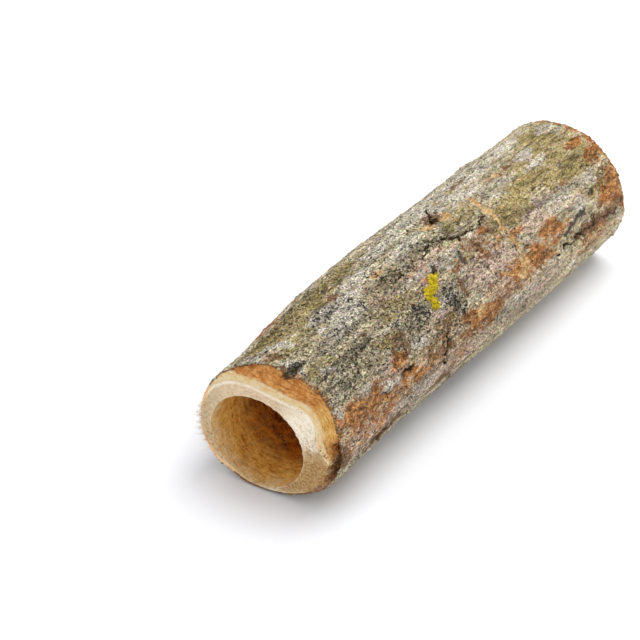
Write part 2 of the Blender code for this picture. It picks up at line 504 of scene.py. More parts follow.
MARKS: tuple[Patch | Stroke, ...] = (
    *patches(
        Mask.CRUST, (109, 3, 8, 4, 0.4), (30, 8, 7, 3.4, 0.95), (58, 20, 5, 2, 0.45),
        (80, -22, 7, 2, 0.7), (100, -8, 9, 2.5, 0.6), (27, -7, 6, 2.6, 0.85), (36, -3, 7, 3, 0.8),
        (22, 6, 3, 1.5, 0.7), (3, -24, 3, 5, 0.6), (47, -12, 6, 3, 0.65), (62, -22, 9, 2.6, 0.75),
        (44, 62, 3.5, 2.4, 0.6), (88, -12, 3, 1.6, 0.8), (74, -27, 7, 2.5, 0.7), (92, -34, 16, 4, 0.6),
        (84, -22, 8, 3, 0.7), (68, -6, 9, 2.4, 0.7), (70, 26, 8, 2.6, 0.55), (112, -36, 10, 3, 0.6),
        (96, -18, 6, 3, 0.6), (112, -22, 8, 2.5, 0.65), (128, -3, 5, 2.2, 0.95), (127, 10, 6, 1.8, 0.6),
        (130, -30, 9, 4, 0.7), (24, 16, 6, 2.2, 0.6), (26, 71, 4.5, 1.4, 0.85), (17, 60, 3, 1, 0.7),
        (10, 32, 3.5, 1.2, 0.7), (60, 50, 5, 1.6, 0.6), (83, 24, 4, 1.6, 0.5), (122, 45, 8, 2.5, 0.55),
        (138, 50, 6, 2.5, 0.5), (128, 62, 4, 1.8, 0.7), (90, 92, 9, 2.2, 0.5), (40, 95, 12, 3, 0.45),
        (146, -12, 3, 5, 0.6), (4, 19, 2, 0.8, 0.8),
    ),
    *strokes(
        Mask.CRUST, (((7, -21), (10, -17), (12, -11), (11, -4)), 1.9, 1.1),
        (((2.5, 5), (5, 9), (6.5, 13)), 1.6, 1.2), (((3, 57), (4, 62), (3, 66)), 0.9, 0.9),
        (((38, 38), (40, 43)), 0.9, 1),
    ),
    *patches(
        Mask.RUST, (7, 67, 6, 3, 1.15), (15, 72, 8, 3.4, 0.85), (20, 62, 3, 1.4, 0.7),
        (16, 83, 5, 2, 0.6), (33.5, 60, 2.8, 2.5, 1.3), (35, 75, 4.5, 1.8, 0.95), (40, 82, 5, 2, 0.7),
        (24, 78, 3, 1.5, 0.6), (46, 80, 5, 2, 0.65), (69, 76, 6, 2.6, 1.05, 15), (66, 84, 5, 2, 0.6),
        (76, 80, 6, 2.4, 0.85), (75, 88, 5, 1.4, 0.6), (94, 70, 5, 2.2, 1.1), (101, 68, 6, 2.6, 1),
        (105, 76, 6, 2.2, 0.8), (114.5, 61, 3.6, 2.6, 1.35, 15), (109, 58, 3, 1.6, 0.9),
        (143, 70, 5.5, 2.4, 1.2), (147, 60, 3, 3, 0.8), (146, 76, 4.5, 2.4, 1),
        (146, 35, 3.5, 2.6, 0.85), (144, 19, 3.5, 1.6, 0.75), (150.5, 40, 1.2, 26, 1),
        (128, 40, 2.5, 1.2, 0.5), (82, 27, 5, 1.6, 0.65), (90, 25, 4, 1.4, 0.6), (72, 34, 5, 1.2, 0.6),
        (57, 17, 3.5, 1.2, 0.55), (51, -2, 2.5, 1, 0.5), (99, 45, 4, 1.2, 0.6), (20, 97, 6, 2.5, 0.45),
        (60, 97, 6, 2, 0.45), (1, 45, 1.4, 14, 0.7), (4, -14, 3, 2.2, 0.5), (24, 80, 26, 7, 0.44),
        (52, 76, 16, 5, 0.34), (98, 70, 20, 5, 0.38), (66, 26, 16, 5, 0.28), (88, 34, 12, 5, 0.28),
        (144, 62, 8, 10, 0.2), (86, 70, 10, 4, 0.3), (118, 68, 8, 4, 0.3), (134, 96, 12, 4, 0.45),
        (40, 4, 16, 5, 0.2), (112, -3, 4, 1.4, 0.6),
    ),
    *strokes(
        Mask.RUST, (((85, 61), (88, 66), (90, 69)), 1, 1.2),
        (((28, -56), (44, -56), (58, -54)), 1.1, 0.75),
    ),
    *patches(
        Mask.LILAC, (27, 64, 7, 3.6, 1), (63, 20, 10, 3.6, 0.9), (44, 18, 5, 2.5, 0.7),
        (82, 49, 13, 4.2, 1), (112, 45, 12, 4.2, 0.85), (55, 56, 8, 3.2, 0.75), (60, 35, 6, 3.5, 0.7),
        (14, 92, 16, 4.5, 0.9), (52, 98, 26, 5, 0.85), (84, 60, 10, 4, 0.95), (90, 76, 12, 4, 0.8),
        (96, 96, 18, 5, 0.75), (132, 56, 10, 3, 0.6), (34, -2, 6, 2.5, 0.55),
    ),
    *patches(
        Mask.OLIVE, (20, -28, 22, 5, 0.95), (14, -2, 9, 3, 0.7), (44, -30, 16, 4, 0.7),
        (22, -15, 6, 2.5, 0.7), (34, 45, 5, 1.9, 1), (44, 28, 8, 3.2, 0.6), (8, 28, 6, 3, 0.6),
        (88, 5, 8, 3, 0.6), (104, 28, 9, 4.5, 0.9), (118, 18, 12, 4, 0.85), (132, 5, 14, 6, 1.1),
        (142, -14, 9, 5, 1), (133, 30, 12, 4.5, 0.95), (146, 30, 7, 5, 0.8), (142, 60, 7, 4, 0.8),
        (141, 53, 8, 2.8, 0.7), (57, 62, 4, 1.6, 0.8),
    ),
    *patches(
        Mask.SPECKLE, (36, 52, 8, 5, 1.05), (22, 40, 20, 7, 1), (10, 48, 9, 4, 0.9),
        (46, 42, 10, 6, 0.95), (48, 58, 9, 3.5, 0.8), (65, 50, 7, 5, 0.9), (30, 18, 24, 4.5, 0.65),
        (66, 8, 22, 2.8, 0.7), (30, -8, 10, 4, 0.45), (108, 40, 18, 5, 0.45), (138, 45, 10, 5, 0.5),
        (26, -36, 22, 5, 0.9), (58, 70, 12, 4.5, 0.95),
    ),
    *patches(
        Mask.BROWN, (36, 52, 7, 4, 0.5), (86, 78, 9, 3, 0.55), (70, 88, 14, 3, 0.45),
        (58, 64, 7, 3.5, 0.42), (50, 84, 12, 4, 0.4), (22, 84, 14, 4, 0.38), (36, -13, 1.8, 1.5, 1.4),
        (83, -12, 3.4, 2.4, 1.15), (5.5, -7, 2, 2.2, 1.1), (120, -4, 1.6, 1.2, 1.2),
        (28, 28, 2.5, 0.7, 0.9), (52, 108, 5, 2.2, 1), (69, 50, 1, 4.5, 0.95), (84, 34, 2.2, 1.4, 0.9),
        (83, 42, 1.4, 1, 1), (105, -26, 6, 1, 0.8), (148, 84, 4, 2.5, 1), (138, 74, 3, 1.2, 0.9),
        (22, 108, 12, 2.5, 0.8), (1.5, 95, 2.2, 5.5, 0.9), (1.5, 8, 1.5, 1.6, 0.9),
        (134, 85, 13, 2.5, 0.95, 3), (144, 58, 5, 2, 0.55),
    ),
    *patches(
        Mask.SOOT, (63.5, 52, 2.8, 5.4, 0.5), (65, 66, 1.2, 1.6, 0.9), (64, 26, 1.4, 0.9, 0.9),
        (49, 45, 4, 3, 0.22), (75.5, 33, 1.4, 2.6, 0.8), (4.5, 13.5, 4.2, 1.4, 0.8),
        (128.5, 67, 2.2, 1.3, 1.25), (20, 37, 1, 0.6, 1), (39, 40, 1.2, 1.4, 0.9),
        (136, 59, 2.2, 0.9, 0.9), (107, 42, 0.9, 0.7, 1.1), (18, 108, 5, 1.6, 0.9),
        (143, -4, 1.2, 0.7, 0.9),
    ),
    *strokes(
        Mask.SOOT, (((116, 73), (122, 71), (129, 67)), 1.3, 1), (((6, 36), (9, 33)), 0.7, 1),
        (((1, 17), (4, 16), (9, 12)), 0.7, 0.75),
    ),
    *patches(
        Mask.GOLD, (72, 74, 2.5, 1.6, 0.75), (94, 76, 2, 2.2, 0.7), (79, -6, 2.1, 1.5, 1.15),
        (87, -5, 2.3, 1.5, 1.2), (96.5, 66, 2, 3.6, 0.7), (113, -6, 1.6, 1.2, 0.9),
    ),
    *strokes(
        Mask.GOLD, (((98.5, -2), (98, 6), (97.5, 14), (97, 22)), 1.35, 1.15),
        (((97, 22), (97, 34), (96.5, 46), (96, 56)), 0.8, 1.05), (((86, 61), (89, 67)), 0.8, 1),
        (((92.5, -2), (94.5, -6)), 0.5, 1), (((92, -12), (92.5, -27)), 0.45, 0.95),
        (((99.5, -19), (100.5, -29)), 0.7, 1),
    ),
    *strokes(
        Mask.LICHEN, (((62, 29), (60.5, 32.5), (57.5, 36), (56, 40), (56, 43), (57, 46)), 1.6, 1.25),
    ),
    *strokes(
        Mask.CLEFT, (((87, -21), (84, -17)), 0.5, 0.9),
        (((84.5, -17), (83.5, -12), (82.5, -9), (84, -3)), 0.95, 1.2),
        (((72, -16.5), (79, -17)), 0.43, 0.75),
        (((52, 14), (54, 11), (57, 12), (61, 11), (68, 11)), 0.47, 0.8),
        (((68, 11), (70, 6), (71, 8), (72, 4), (74, 9), (75.5, 7), (78, 10), (80, 12), (80, 18)), 0.5, 1.05),
        (((80, 18.5), (86, 19.5), (90, 18.5), (96, 19)), 0.62, 0.95),
        (((55, 71), (54.5, 76), (54, 80)), 0.86, 1.1), (((54, 80), (52.5, 84), (52, 91)), 0.7, 1.2),
        (((33.5, 72), (36.5, 71.5)), 0.86, 1.3),
        (((34, 72.5), (29, 72.5), (25, 75), (22, 73)), 0.33, 0.65),
        (((22, 73), (21, 66), (22, 58)), 0.27, 0.5), (((112, 84), (119, 83), (125, 84)), 0.7, 1),
        (((125, 84), (134, 85), (146, 90)), 0.9, 0.6), (((8, 108), (16, 110), (27, 107)), 0.7, 1.1),
        (((3, 14), (6, 15), (8, 14)), 0.62, 0.9), (((105, -36), (112, -28), (118, -24)), 0.55, 0.8),
        (((117, -47), (119, -45), (122, -46)), 0.7, 1.1),
        (((86, 33), (84, 36), (82, 34), (84, 31.5)), 0.43, 0.8), (((116, 27), (122, 28)), 0.39, 0.7),
        (((138, 39.5), (142, 39.5)), 0.35, 0.8), (((144, 62), (143, 68)), 0.55, 0.8),
        (((26, 28), (30, 28.5)), 0.39, 0.7), (((61, 97), (66, 102)), 0.39, 0.6),
        (((70, 33), (73, 34)), 0.39, 0.6), (((30, -112), (44, -110), (60, -113)), 0.7, 1),
        (((96, -78), (110, -82), (124, -80)), 0.62, 0.9),
        (((60, 150), (84, 146), (100, 149)), 0.7, 0.9), (((128, -118), (140, -114)), 0.62, 0.9),
    ),
    *patches(
        Mask.MOSS, (5, 14, 3.2, 1.8, 0.6), (3, 17, 2, 1, 0.7), (6, -8, 2.4, 2, 0.55),
        (64, 26, 1.2, 1, 0.9),
    ),
    *strokes(
        Mask.MOSS, (((68, 10), (72, 6), (78, 10), (80, 17), (88, 19)), 1.3, 0.6),
        (((118, 84), (134, 86)), 2.2, 0.45),
    ),
    *patches(
        Mask.FRUIT, (26, -6, 4, 3.4, 0.75), (37.5, -5, 2, 3, 0.8), (36, 7, 2.4, 1, 1),
        (48.5, -8, 1, 2.2, 0.8), (24, 13, 1.6, 0.8, 0.9), (52, 4, 2.6, 1.8, 0.9), (49, 44, 4, 3.4, 0.9),
        (63, 52, 2.4, 5, 1), (46, 57, 3.5, 2.6, 0.6), (107, 41, 1.4, 1.4, 0.8), (65, 65, 1.6, 1.2, 0.9),
        (30, 40, 16, 6, 0.28),
    ),
    *patches(
        Mask.SCALE, (60, 10, 16, 2.6, 0.8), (88, 19, 9, 1.8, 0.9), (80, -12, 7, 3, 0.7),
        (98, 60, 9, 5, 0.8), (125, 84, 14, 3.2, 0.9), (54, 78, 4, 2, 0.8), (18, 106, 12, 2, 0.7),
        (143, 60, 6, 7, 0.6),
    ),
)


@dataclass(frozen=True)
class HiddenSide:
    """Seeded patches that carry the bark's pattern round the flank and underside."""

    seed: int = 11
    count: int = 74
    along: tuple[float, float] = (2, 149)
    start: float = 134.0
    sweep: float = 168.0
    length: tuple[float, float] = (4, 14)
    width: tuple[float, float] = (2, 5)
    strength: tuple[float, float] = (0.6, 1.05)
    lean: tuple[float, float] = (-18, 18)
    kinds: tuple[Mask, ...] = (
        Mask.CRUST, Mask.RUST, Mask.OLIVE, Mask.LILAC, Mask.SPECKLE, Mask.SOOT, Mask.BROWN,
    )
    small_kinds: tuple[Mask, ...] = (Mask.SOOT, Mask.BROWN)
    small: float = 0.35

    def patches(self) -> list[Patch]:
        """Draw the patches, the same ones each time.

        Returns:
            The patches in the order they were drawn.
        """
        draw = np.random.default_rng(self.seed)
        found = []
        for number in range(self.count):
            kind = self.kinds[number % len(self.kinds)]
            scale = self.small if kind in self.small_kinds else 1.0
            along = draw.uniform(*self.along)
            around = self.start + self.sweep * draw.uniform()
            length = scale * draw.uniform(*self.length)
            width = scale * draw.uniform(*self.width)
            strength = draw.uniform(*self.strength)
            found.append(Patch(kind, along, around, length, width, strength, draw.uniform(*self.lean)))
        return found


@dataclass(frozen=True)
class Lobe:
    """One wave of an outline around the log: its count, height in mm and direction."""

    count: int
    height: float
    towards: float


@dataclass(frozen=True)
class Swelling:
    """A smooth rise of the bark, or a hollow where the height is negative."""

    along: float
    around: float
    height: float
    reach_along: float
    reach_around: float


def wave(outline: Sequence[Lobe], around: Array) -> Array:
    """Height of an outline's waves above its mean radius."""
    return sum(lobe.height * np.cos(np.radians(lobe.count * (around - lobe.towards))) for lobe in outline)


Wave = tuple[float, float, float]


def ragged(waves: Sequence[Wave], around: Array) -> Array:
    """Height of a ragged edge: its waves are each a count, a height and a turn in degrees."""
    return sum(height * np.cos(np.radians(count * around + turn)) for count, height, turn in waves)


@dataclass(frozen=True)
class LogShape:
    """The log's form: the same outline, swellings, cuts and hole as its solid."""

    length: float = 151.3
    body_radius: float = 22.4
    bed: float = -23.1
    bore_radius: float = 15.0
    bore_x: float = -4.4
    bore_z: float = -6.6
    near_cut: tuple[float, float] = (math.tan(math.radians(5.5)), math.tan(math.radians(0.8)))
    far_cut: tuple[float, float] = (math.tan(math.radians(-0.2)), math.tan(math.radians(-2.0)))
    outline_reach: float = 26.0
    near_outline: tuple[Lobe, ...] = (
        Lobe(1, 0.94, -174), Lobe(2, 1.21, 56), Lobe(3, 0.40, -3), Lobe(4, 0.42, 36),
    )
    body_outline: tuple[Lobe, ...] = (
        Lobe(1, 1.4, -145), Lobe(2, 0.25, 70), Lobe(5, 0.12, 20), Lobe(9, 0.08, 7),
    )
    swellings: tuple[Swelling, ...] = (
        Swelling(60, -52, 1.5, 24, 34),
        Swelling(10, -50, -0.8, 11, 24),
        Swelling(34, 124, -0.6, 22, 32),
        Swelling(120, -50, 0.9, 4, 11),
        Swelling(150, -52, -1.0, 22, 45),
        Swelling(126, 128, 1.0, 36, 38),
        Swelling(82, -8, 0.6, 9, 14),
        Swelling(82, -9, -1.0, 3.5, 5),
        Swelling(4, 15, -1.7, 4, 5),
        Swelling(5, 92, 0.8, 7, 9),
        Swelling(134, 84, -1.1, 14, 7),
        Swelling(56, -112, 0.7, 17, 18),
        Swelling(108, -96, -0.9, 14, 16),
        Swelling(96, -147, 1.0, 90, 26),
        Swelling(90, 160, 1.7, 60, 13),
    )
    solid_sides: int = 72
    solid_stations: int = 35
    lip_waves: tuple[Wave, ...] = ((17, 0.08, 50), (31, 0.08, 10), (47, 0.08, 80), (71, 0.07, 200))
    lip_reach: float = 0.7

    def radius(self, along: Array, around: Array) -> Array:
        """Distance from the axis to the bark.

        Args:
            along: Distances in mm.
            around: Angles in degrees.

        Returns:
            The distances, in mm.
        """
        fade = np.exp(-((along / self.outline_reach) ** 2))
        total = self.body_radius + fade * wave(self.near_outline, around)
        total = total + (1 - fade) * wave(self.body_outline, around)
        for one in self.swellings:
            ahead = (along - one.along) / one.reach_along
            aside = turned(around, one.around) / one.reach_around
            total = total + one.height * np.exp(-(ahead**2 + aside**2) / 2)
        return total

    def on_cuts(self, x: Array, z: Array, along: Array) -> Array:
        """Points at distances along the log, leaning with the nearer saw cut.

        Args:
            x: Places across the log, in mm.
            z: Heights over its axis, in mm.
            along: Distances in mm.

        Returns:
            The points, in mm.
        """
        near = self.near_cut[0] * x + self.near_cut[1] * z
        far = self.length + self.far_cut[0] * x + self.far_cut[1] * z
        return np.stack((x, near + along / self.length * (far - near), z), axis=-1)

    def bark(self, along: Array, around: Array, inset: Array | float = 0.0) -> Array:
        """Points of the bark, or of a surface set in below it.

        Args:
            along: Distances in mm.
            around: Angles in degrees.
            inset: How far below the bark, in mm.

        Returns:
            The points, in mm.
        """
        radius = self.radius(along, around) - inset
        x = radius * np.sin(np.radians(around))
        z = np.maximum(radius * np.cos(np.radians(around)), self.bed + inset)
        return self.on_cuts(x, z, along)

    def bore_wall(self, along: Array, around: Array) -> Array:
        """Points of the drilled hole's wall, with torn wood left standing along the near lip.

        Args:
            along: Distances in mm.
            around: Angles in degrees.

        Returns:
            The points, in mm.
        """
        torn = ragged(self.lip_waves, around) * (0.25 + facing(around, 40, 52, 4))
        radius = self.bore_radius - np.maximum(torn, -0.02) * np.exp(-along / self.lip_reach)
        x = self.bore_x + radius * np.sin(np.radians(around))
        z = self.bore_z + radius * np.cos(np.radians(around))
        return self.on_cuts(x, z, along)

    def shift(self) -> Array:
        """Move, in mm, from the log's own axis to the frame, where its solid's box is centred.

        Returns:
            The move along each axis.
        """
        shares = np.linspace(0, self.length, self.solid_stations)
        turns = np.arange(self.solid_sides) * 360.0 / self.solid_sides
        points = self.bark(*np.meshgrid(shares, turns, indexing="ij")).reshape(-1, 3)
        low, high = (np.array(corner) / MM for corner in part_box(NODE))
        move = (low + high) / 2 - (points.min(0) + points.max(0)) / 2
        move[2] = low[2] - self.bed
        return move


@dataclass(frozen=True)
class NearFace:
    """The wide sawn face: where the wood ends, the inner bark and what it has suffered, in mm."""

    wood_x: float = -2.5
    wood_z: float = -4.5
    wood_radius: float = 19.0
    wood_outline: tuple[Lobe, ...] = (
        Lobe(1, 0.56, -143), Lobe(2, 1.57, -89), Lobe(3, 0.22, -26), Lobe(4, 0.54, 33),
        Lobe(5, 0.75, -32), Lobe(6, 0.46, -11), Lobe(7, 0.21, -6), Lobe(8, 0.22, 9),
    )
    bevel: float = 1.35
    least_bevel: float = 0.12
    edge_waves: tuple[Wave, ...] = (
        (7, 0.18, 20), (13, 0.15, 140), (23, 0.14, 75), (37, 0.13, 200), (61, 0.12, 10), (89, 0.10, 70),
    )
    gap_depth: float = 5.4
    gap_start: float = 78.0
    gap_end: float = 120.0
    gap_opening: float = 4.0
    gap_closing: float = 16.0

    def inside_wood(self, x: Array, z: Array) -> Array:
        """Distance in from the wood's edge, negative in the inner bark.

        Args:
            x: Places across the log, in mm.
            z: Heights over its axis, in mm.

        Returns:
            The distances, in mm.
        """
        aside, above = x - self.wood_x, z - self.wood_z
        angle = np.degrees(np.arctan2(aside, above))
        return self.wood_radius + wave(self.wood_outline, angle) - np.hypot(aside, above)

    def setback(self, around: Array) -> Array:
        """How far behind the cut the bark's edge is broken, all round.

        Args:
            around: Angles in degrees.

        Returns:
            The distances, in mm.
        """
        top = facing(around, 8, 62, 4)
        uneven = ragged(self.edge_waves, around) * (0.6 + 0.6 * top)
        return np.maximum(0.35 + self.bevel * top + uneven, self.least_bevel)

    def gap(self, around: Array, from_bark: Array) -> Array:
        """Share of the split behind the lifted flap of bark, from 0 to 1.

        Args:
            around: Angles in degrees.
            from_bark: Distances in from the bark, in mm.

        Returns:
            The shares.
        """
        reach = eased(around, self.gap_start, self.gap_start + self.gap_opening)
        reach = reach * (1 - eased(around, self.gap_end - self.gap_closing, self.gap_end))
        torn = 0.5 * np.sin(np.radians(17 * around)) + 0.3 * np.sin(np.radians(41 * around))
        return reach * eased(from_bark, 0.5, 1.0) * (1 - eased(from_bark + torn, 3.3, 4.0))


class Zone(Enum):
    """The body's three finishes, in the order of its material slots."""

    BARK = 0
    FACE = 1
    BORE = 2

    @property
    def label(self) -> str:
        """Name of the relief tree's input for this zone's material."""
        return f"{self.name.title()} Finish"


class Part(Enum):
    """The stretches of the body's grid, in the order in which they close into a ring."""

    BARK = "bark"
    FAR = "far face"
    BORE = "bore"
    NEAR = "near face"


@dataclass
class Section:
    """One stretch of the body's grid: rows of points and what each of them carries."""

    points: Array
    lift: Array
    part: Part
    fields: dict[str, Array]


FIELD_NAMES = ("skin", "bast", "timber", "bored", "inside_wood", "from_bark", "from_bore", "arc", "depth")


@dataclass
class LogBody:
    """The log in one closed skin: bark, two sawn faces and the drilled hole."""

    shape: LogShape = field(default_factory=LogShape)
    face: NearFace = field(default_factory=NearFace)
    seen_start: float = -62.0
    seen_end: float = 132.0
    seen_columns: int = 182
    hidden_columns: int = 94
    bark_rows: int = 292
    edge_round: float = 0.35
    fuzzy: tuple[float, float] = (-104, 24)
    bore_stations: tuple[float, ...] = (
        1, 0.93, 0.86, 0.79, 0.72, 0.65, 0.58, 0.51, 0.45, 0.39, 0.33, 0.28, 0.24, 0.2,
        0.165, 0.135, 0.108, 0.084, 0.063, 0.046, 0.032, 0.021, 0.013, 0.007, 0.003, 0,
    )
    face_rows: int = 24
    far_face_rows: int = 12
    first_row: float = 0.35
    map_margin: float = 0.006
    map_bark: tuple[float, float] = (0.724, 0.690)
    map_bore_left: float = 0.745
    map_bore: tuple[float, float] = (0.248, 0.690)
    map_far_middle: tuple[float, float] = (0.442, 0.852)
    map_near_middle: tuple[float, float] = (0.148, 0.852)
    map_face_scale: float = 180.0

    def columns(self) -> Array:
        """Angles of the grid's columns, closer together where the log is seen from above.

        Returns:
            The angles, in degrees.
        """
        seen = np.linspace(self.seen_start, self.seen_end, self.seen_columns, endpoint=False)
        hidden = np.linspace(self.seen_end, self.seen_start + 360, self.hidden_columns, endpoint=False)
        return np.concatenate((seen, hidden))

    @staticmethod
    def outward(around: Array) -> Array:
        """Directions straight out from the axis."""
        angle = np.radians(around)
        return np.stack((np.sin(angle), np.zeros_like(angle), np.cos(angle)), axis=-1)

    def far_setback(self, around: Array) -> Array:
        """How far the bark's edge is broken at the far cut."""
        return 0.28 + 0.12 * np.cos(np.radians(9 * around)) + 0.12 * np.cos(np.radians(23 * around + 40))

    def bark_section(self, around: Array) -> Section:
        """Bark from the near cut to the far one.

        Args:
            around: Angles in degrees.

        Returns:
            The section.
        """
        start, end = self.face.setback(around), self.far_setback(around)
        share = np.linspace(0, 1, self.bark_rows)[:, None]
        along = start + share * (self.shape.length - start - end)
        turns = np.broadcast_to(around, along.shape)
        edge = np.minimum(along - start, self.shape.length - end - along)
        points = self.shape.bark(along, turns, self.edge_round * np.exp(-edge / 0.5))
        fields = {"skin": np.ones_like(along), "along": along, "around": turns.copy()}
        return Section(points, self.outward(turns), Part.BARK, fields)

    def face_section(self, around: Array, part: Part) -> Section:
        """A sawn face, from the bark in at the far end and from the hole out at the near end.

        Args:
            around: Angles in degrees.
            part: Which face.

        Returns:
            The section.
        """
        near = part is Part.NEAR
        rows = self.face_rows if near else self.far_face_rows
        share = (np.arange(rows) + self.first_row) / rows
        share = (share if near else share[::-1])[:, None]
        turns = np.broadcast_to(around, (rows, len(around)))
        edge_along = self.face.setback(around) if near else self.shape.length - self.far_setback(around)
        outer = self.shape.bark(edge_along, around, self.edge_round)
        inner = self.shape.bore_wall(np.zeros_like(around), around)
        flat = inner[None] + share[..., None] * (outer - inner)[None]
        x, z = flat[..., 0], flat[..., 2]
        width = np.hypot(*(outer - inner)[:, (0, 2)].T)
        from_bore, from_bark = share * width, (1 - share) * width
        if near:
            inside = self.face.inside_wood(x, z)
            bast = eased(-inside, -0.1, 0.5)
            slope = eased(-inside / np.maximum(-inside + from_bark, 0.8), 0.0, 1.0)
            split = self.face.gap(turns, from_bark) * self.face.gap_depth
            along = slope * self.face.setback(around) * 0.9 + split
            lift = np.array((0, -1.0, 0))
        else:
            inside = from_bark - 2.9 - 0.5 * np.cos(np.radians(5 * around + 30))
            bast = eased(-inside, -0.2, 0.4)
            along = self.shape.length - self.far_setback(around) * np.exp(-from_bark / 0.6)
            lift = np.array((0, 1.0, 0))
        fields = {
            "bast": bast,
            "timber": 1 - bast,
            "inside_wood": inside,
            "from_bark": from_bark,
            "from_bore": from_bore,
            "around": turns.copy(),
            "arc": turned(turns, 0) * ARC,
        }
        edge = np.exp(-from_bark / 0.9)[..., None]
        directions = lift * (1 - edge) + self.outward(turns) * edge
        return Section(self.shape.on_cuts(x, z, along), directions, part, fields)

    def bore_section(self, around: Array) -> Section:
        """The hole's wall from the far cut to the near one.

        Args:
            around: Angles in degrees.

        Returns:
            The section.
        """
        along = np.array(self.bore_stations)[:, None] * self.shape.length * np.ones_like(around)
        turns = np.broadcast_to(around, along.shape)
        fields = {"bored": np.ones_like(along), "along": along, "around": turns.copy(), "depth": along}
        return Section(self.shape.bore_wall(along, turns), -self.outward(turns), Part.BORE, fields)

    def bark_masks(self, fields: Mapping[str, Array]) -> dict[Mask, Array]:
        """Masks of the bark: every mark, and the fuzz along its near rim.

        Args:
            fields: The section's fields.

        Returns:
            Strengths by mask.
        """
        along, around = wavering(fields["along"], fields["around"])
        made: dict[Mask, Array] = {}
        for mark in (*MARKS, *HiddenSide().patches()):
            made[mark.mask] = np.maximum(made.get(mark.mask, 0.0), mark.spread(along, around))
        rim = 1 - eased(fields["along"], 0.5, 1.4)
        made[Mask.FUZZ] = rim * facing(around, *self.fuzzy)
        return made

    def near_masks(self, fields: Mapping[str, Array]) -> dict[Mask, Array]:
        """Masks of the near saw cut, most of them strongest in one direction.

        Args:
            fields: The section's fields.

        Returns:
            Strengths by mask.
        """
        around, inside, from_bark = fields["around"], fields["inside_wood"], fields["from_bark"]
        low = np.maximum(facing(around, 122, 50), 0.5 * facing(around, -140, 50))
        scorched = facing(around, 110, 34, 4) * (1 - eased(from_bark, 1.6, 3.8))
        under = facing(around, 166, 50, 4) * (1 - eased(from_bark, 1.2, 2.4))
        frayed = facing(around, 110, 9) * np.exp(-(((from_bark - 4.4) / 1.3) ** 2))
        amber = facing(around, 62, 16) * eased(-inside, 0.4, 1.4)
        return {
            Mask.CREAM: facing(around, 58, 30),
            Mask.DRAB: facing(around, -12, 46),
            Mask.DUST: low * eased(from_bark, 1.2, 2.8),
            Mask.BROWN: np.maximum(scorched, under),
            Mask.MOSS: 0.9 * facing(around, 13, 4.5) * (1 - eased(from_bark, 1.0, 3.0)),
            Mask.CLEFT: self.face.gap(around, from_bark),
            Mask.FUZZ: facing(around, *self.fuzzy) * (1 - eased(from_bark, 0.6, 2.0)),
            Mask.GOLD: np.maximum(amber, frayed),
        }

    def bore_masks(self, fields: Mapping[str, Array]) -> dict[Mask, Array]:
        """Masks of the drilled hole's wall: splinters low down and painted shade further in.

        Args:
            fields: The section's fields.

        Returns:
            Strengths by mask.
        """
        along, around = fields["along"], fields["around"]
        lip = facing(around, 138, 34) * (1 - eased(along, 1.5, 4))
        low = np.maximum(facing(around, -150, 26), lip)
        reach = eased(along, 0.2, 1.2) * (1 - eased(along, 22, 34))
        return {
            Mask.SPLINTER: np.maximum(0.42, low) * reach,
            # Painted shade: darker further into the hole and towards its lower +X side.
            Mask.BROWN: 0.9 * facing(around, 150, 60) * eased(along, 8, 26),
        }

    def painted(self, sections: Sequence[Section]) -> dict[str, Array]:
        """Every mask's strength over the whole grid.

        Args:
            sections: The body's sections.

        Returns:
            One array of the grid's shape for each mask's attribute name.
        """
        painters = {Part.BARK: self.bark_masks, Part.NEAR: self.near_masks, Part.BORE: self.bore_masks}
        layers: dict[Mask, list[Array]] = {mask: [] for mask in Mask}
        for section in sections:
            blank = np.zeros(section.points.shape[:2])
            made = painters[section.part](section.fields) if section.part in painters else {}
            for mask in Mask:
                layers[mask].append(made.get(mask, blank))
        return {mask.value: np.concatenate(parts) for mask, parts in layers.items()}

    def mesh(self) -> Mesh:
        """The whole grid as a mesh in the frame's metres, with its attributes and bake map.

        Returns:
            The mesh.
        """
        around = self.columns()
        sections = [
            self.bark_section(around),
            self.face_section(around, Part.FAR),
            self.bore_section(around),
            self.face_section(around, Part.NEAR),
        ]
        points = np.concatenate([section.points for section in sections])
        rows, columns = points.shape[:2]
        here = np.arange(rows * columns).reshape(rows, columns)
        below, aside = np.roll(here, -1, 0), np.roll(here, -1, 1)
        quads = np.stack((here, aside, np.roll(below, -1, 1), below), axis=-1).reshape(-1, 4)
        world = (points.reshape(-1, 3) + self.shape.shift()) * MM
        mesh = bpy.data.meshes.new("log_body")
        mesh.from_pydata(world.tolist(), [], quads.tolist())
        for name in FIELD_NAMES:
            parts = [section.fields.get(name, np.zeros(section.points.shape[:2])) for section in sections]
            self.store(mesh, name, np.concatenate(parts))
        for name, values in self.painted(sections).items():
            self.store(mesh, name, values)
        lift = np.concatenate([section.lift for section in sections]).reshape(-1, 3)
        holder = mesh.attributes.new("lift", "FLOAT_VECTOR", "POINT")
        holder.data.foreach_set("vector", lift.astype(np.float32).ravel())
        zones = self.zones(sections)
        mesh.attributes.new("zone", "INT", "FACE").data.foreach_set("value", np.repeat(zones, columns))
        self.lay_map(mesh, sections, zones, points, around)
        mesh.shade_smooth()
        return mesh

    @staticmethod
    def store(mesh: Mesh, name: str, values: Array) -> None:
        """Put one value for each point on a mesh."""
        holder = mesh.attributes.new(name, "FLOAT", "POINT")
        holder.data.foreach_set("value", values.astype(np.float32).ravel())

    @staticmethod
    def zones(sections: Sequence[Section]) -> Array:
        """Zone of the band of faces that follows each row.

        Args:
            sections: The body's sections.

        Returns:
            Each band's zone number.
        """
        kinds = {Part.BARK: Zone.BARK, Part.BORE: Zone.BORE}
        bands: list[int] = []
        for section in sections:
            bands += [kinds.get(section.part, Zone.FACE).value] * len(section.points)
            bands[-1] = Zone.FACE.value
        return np.array(bands, dtype=np.int32)

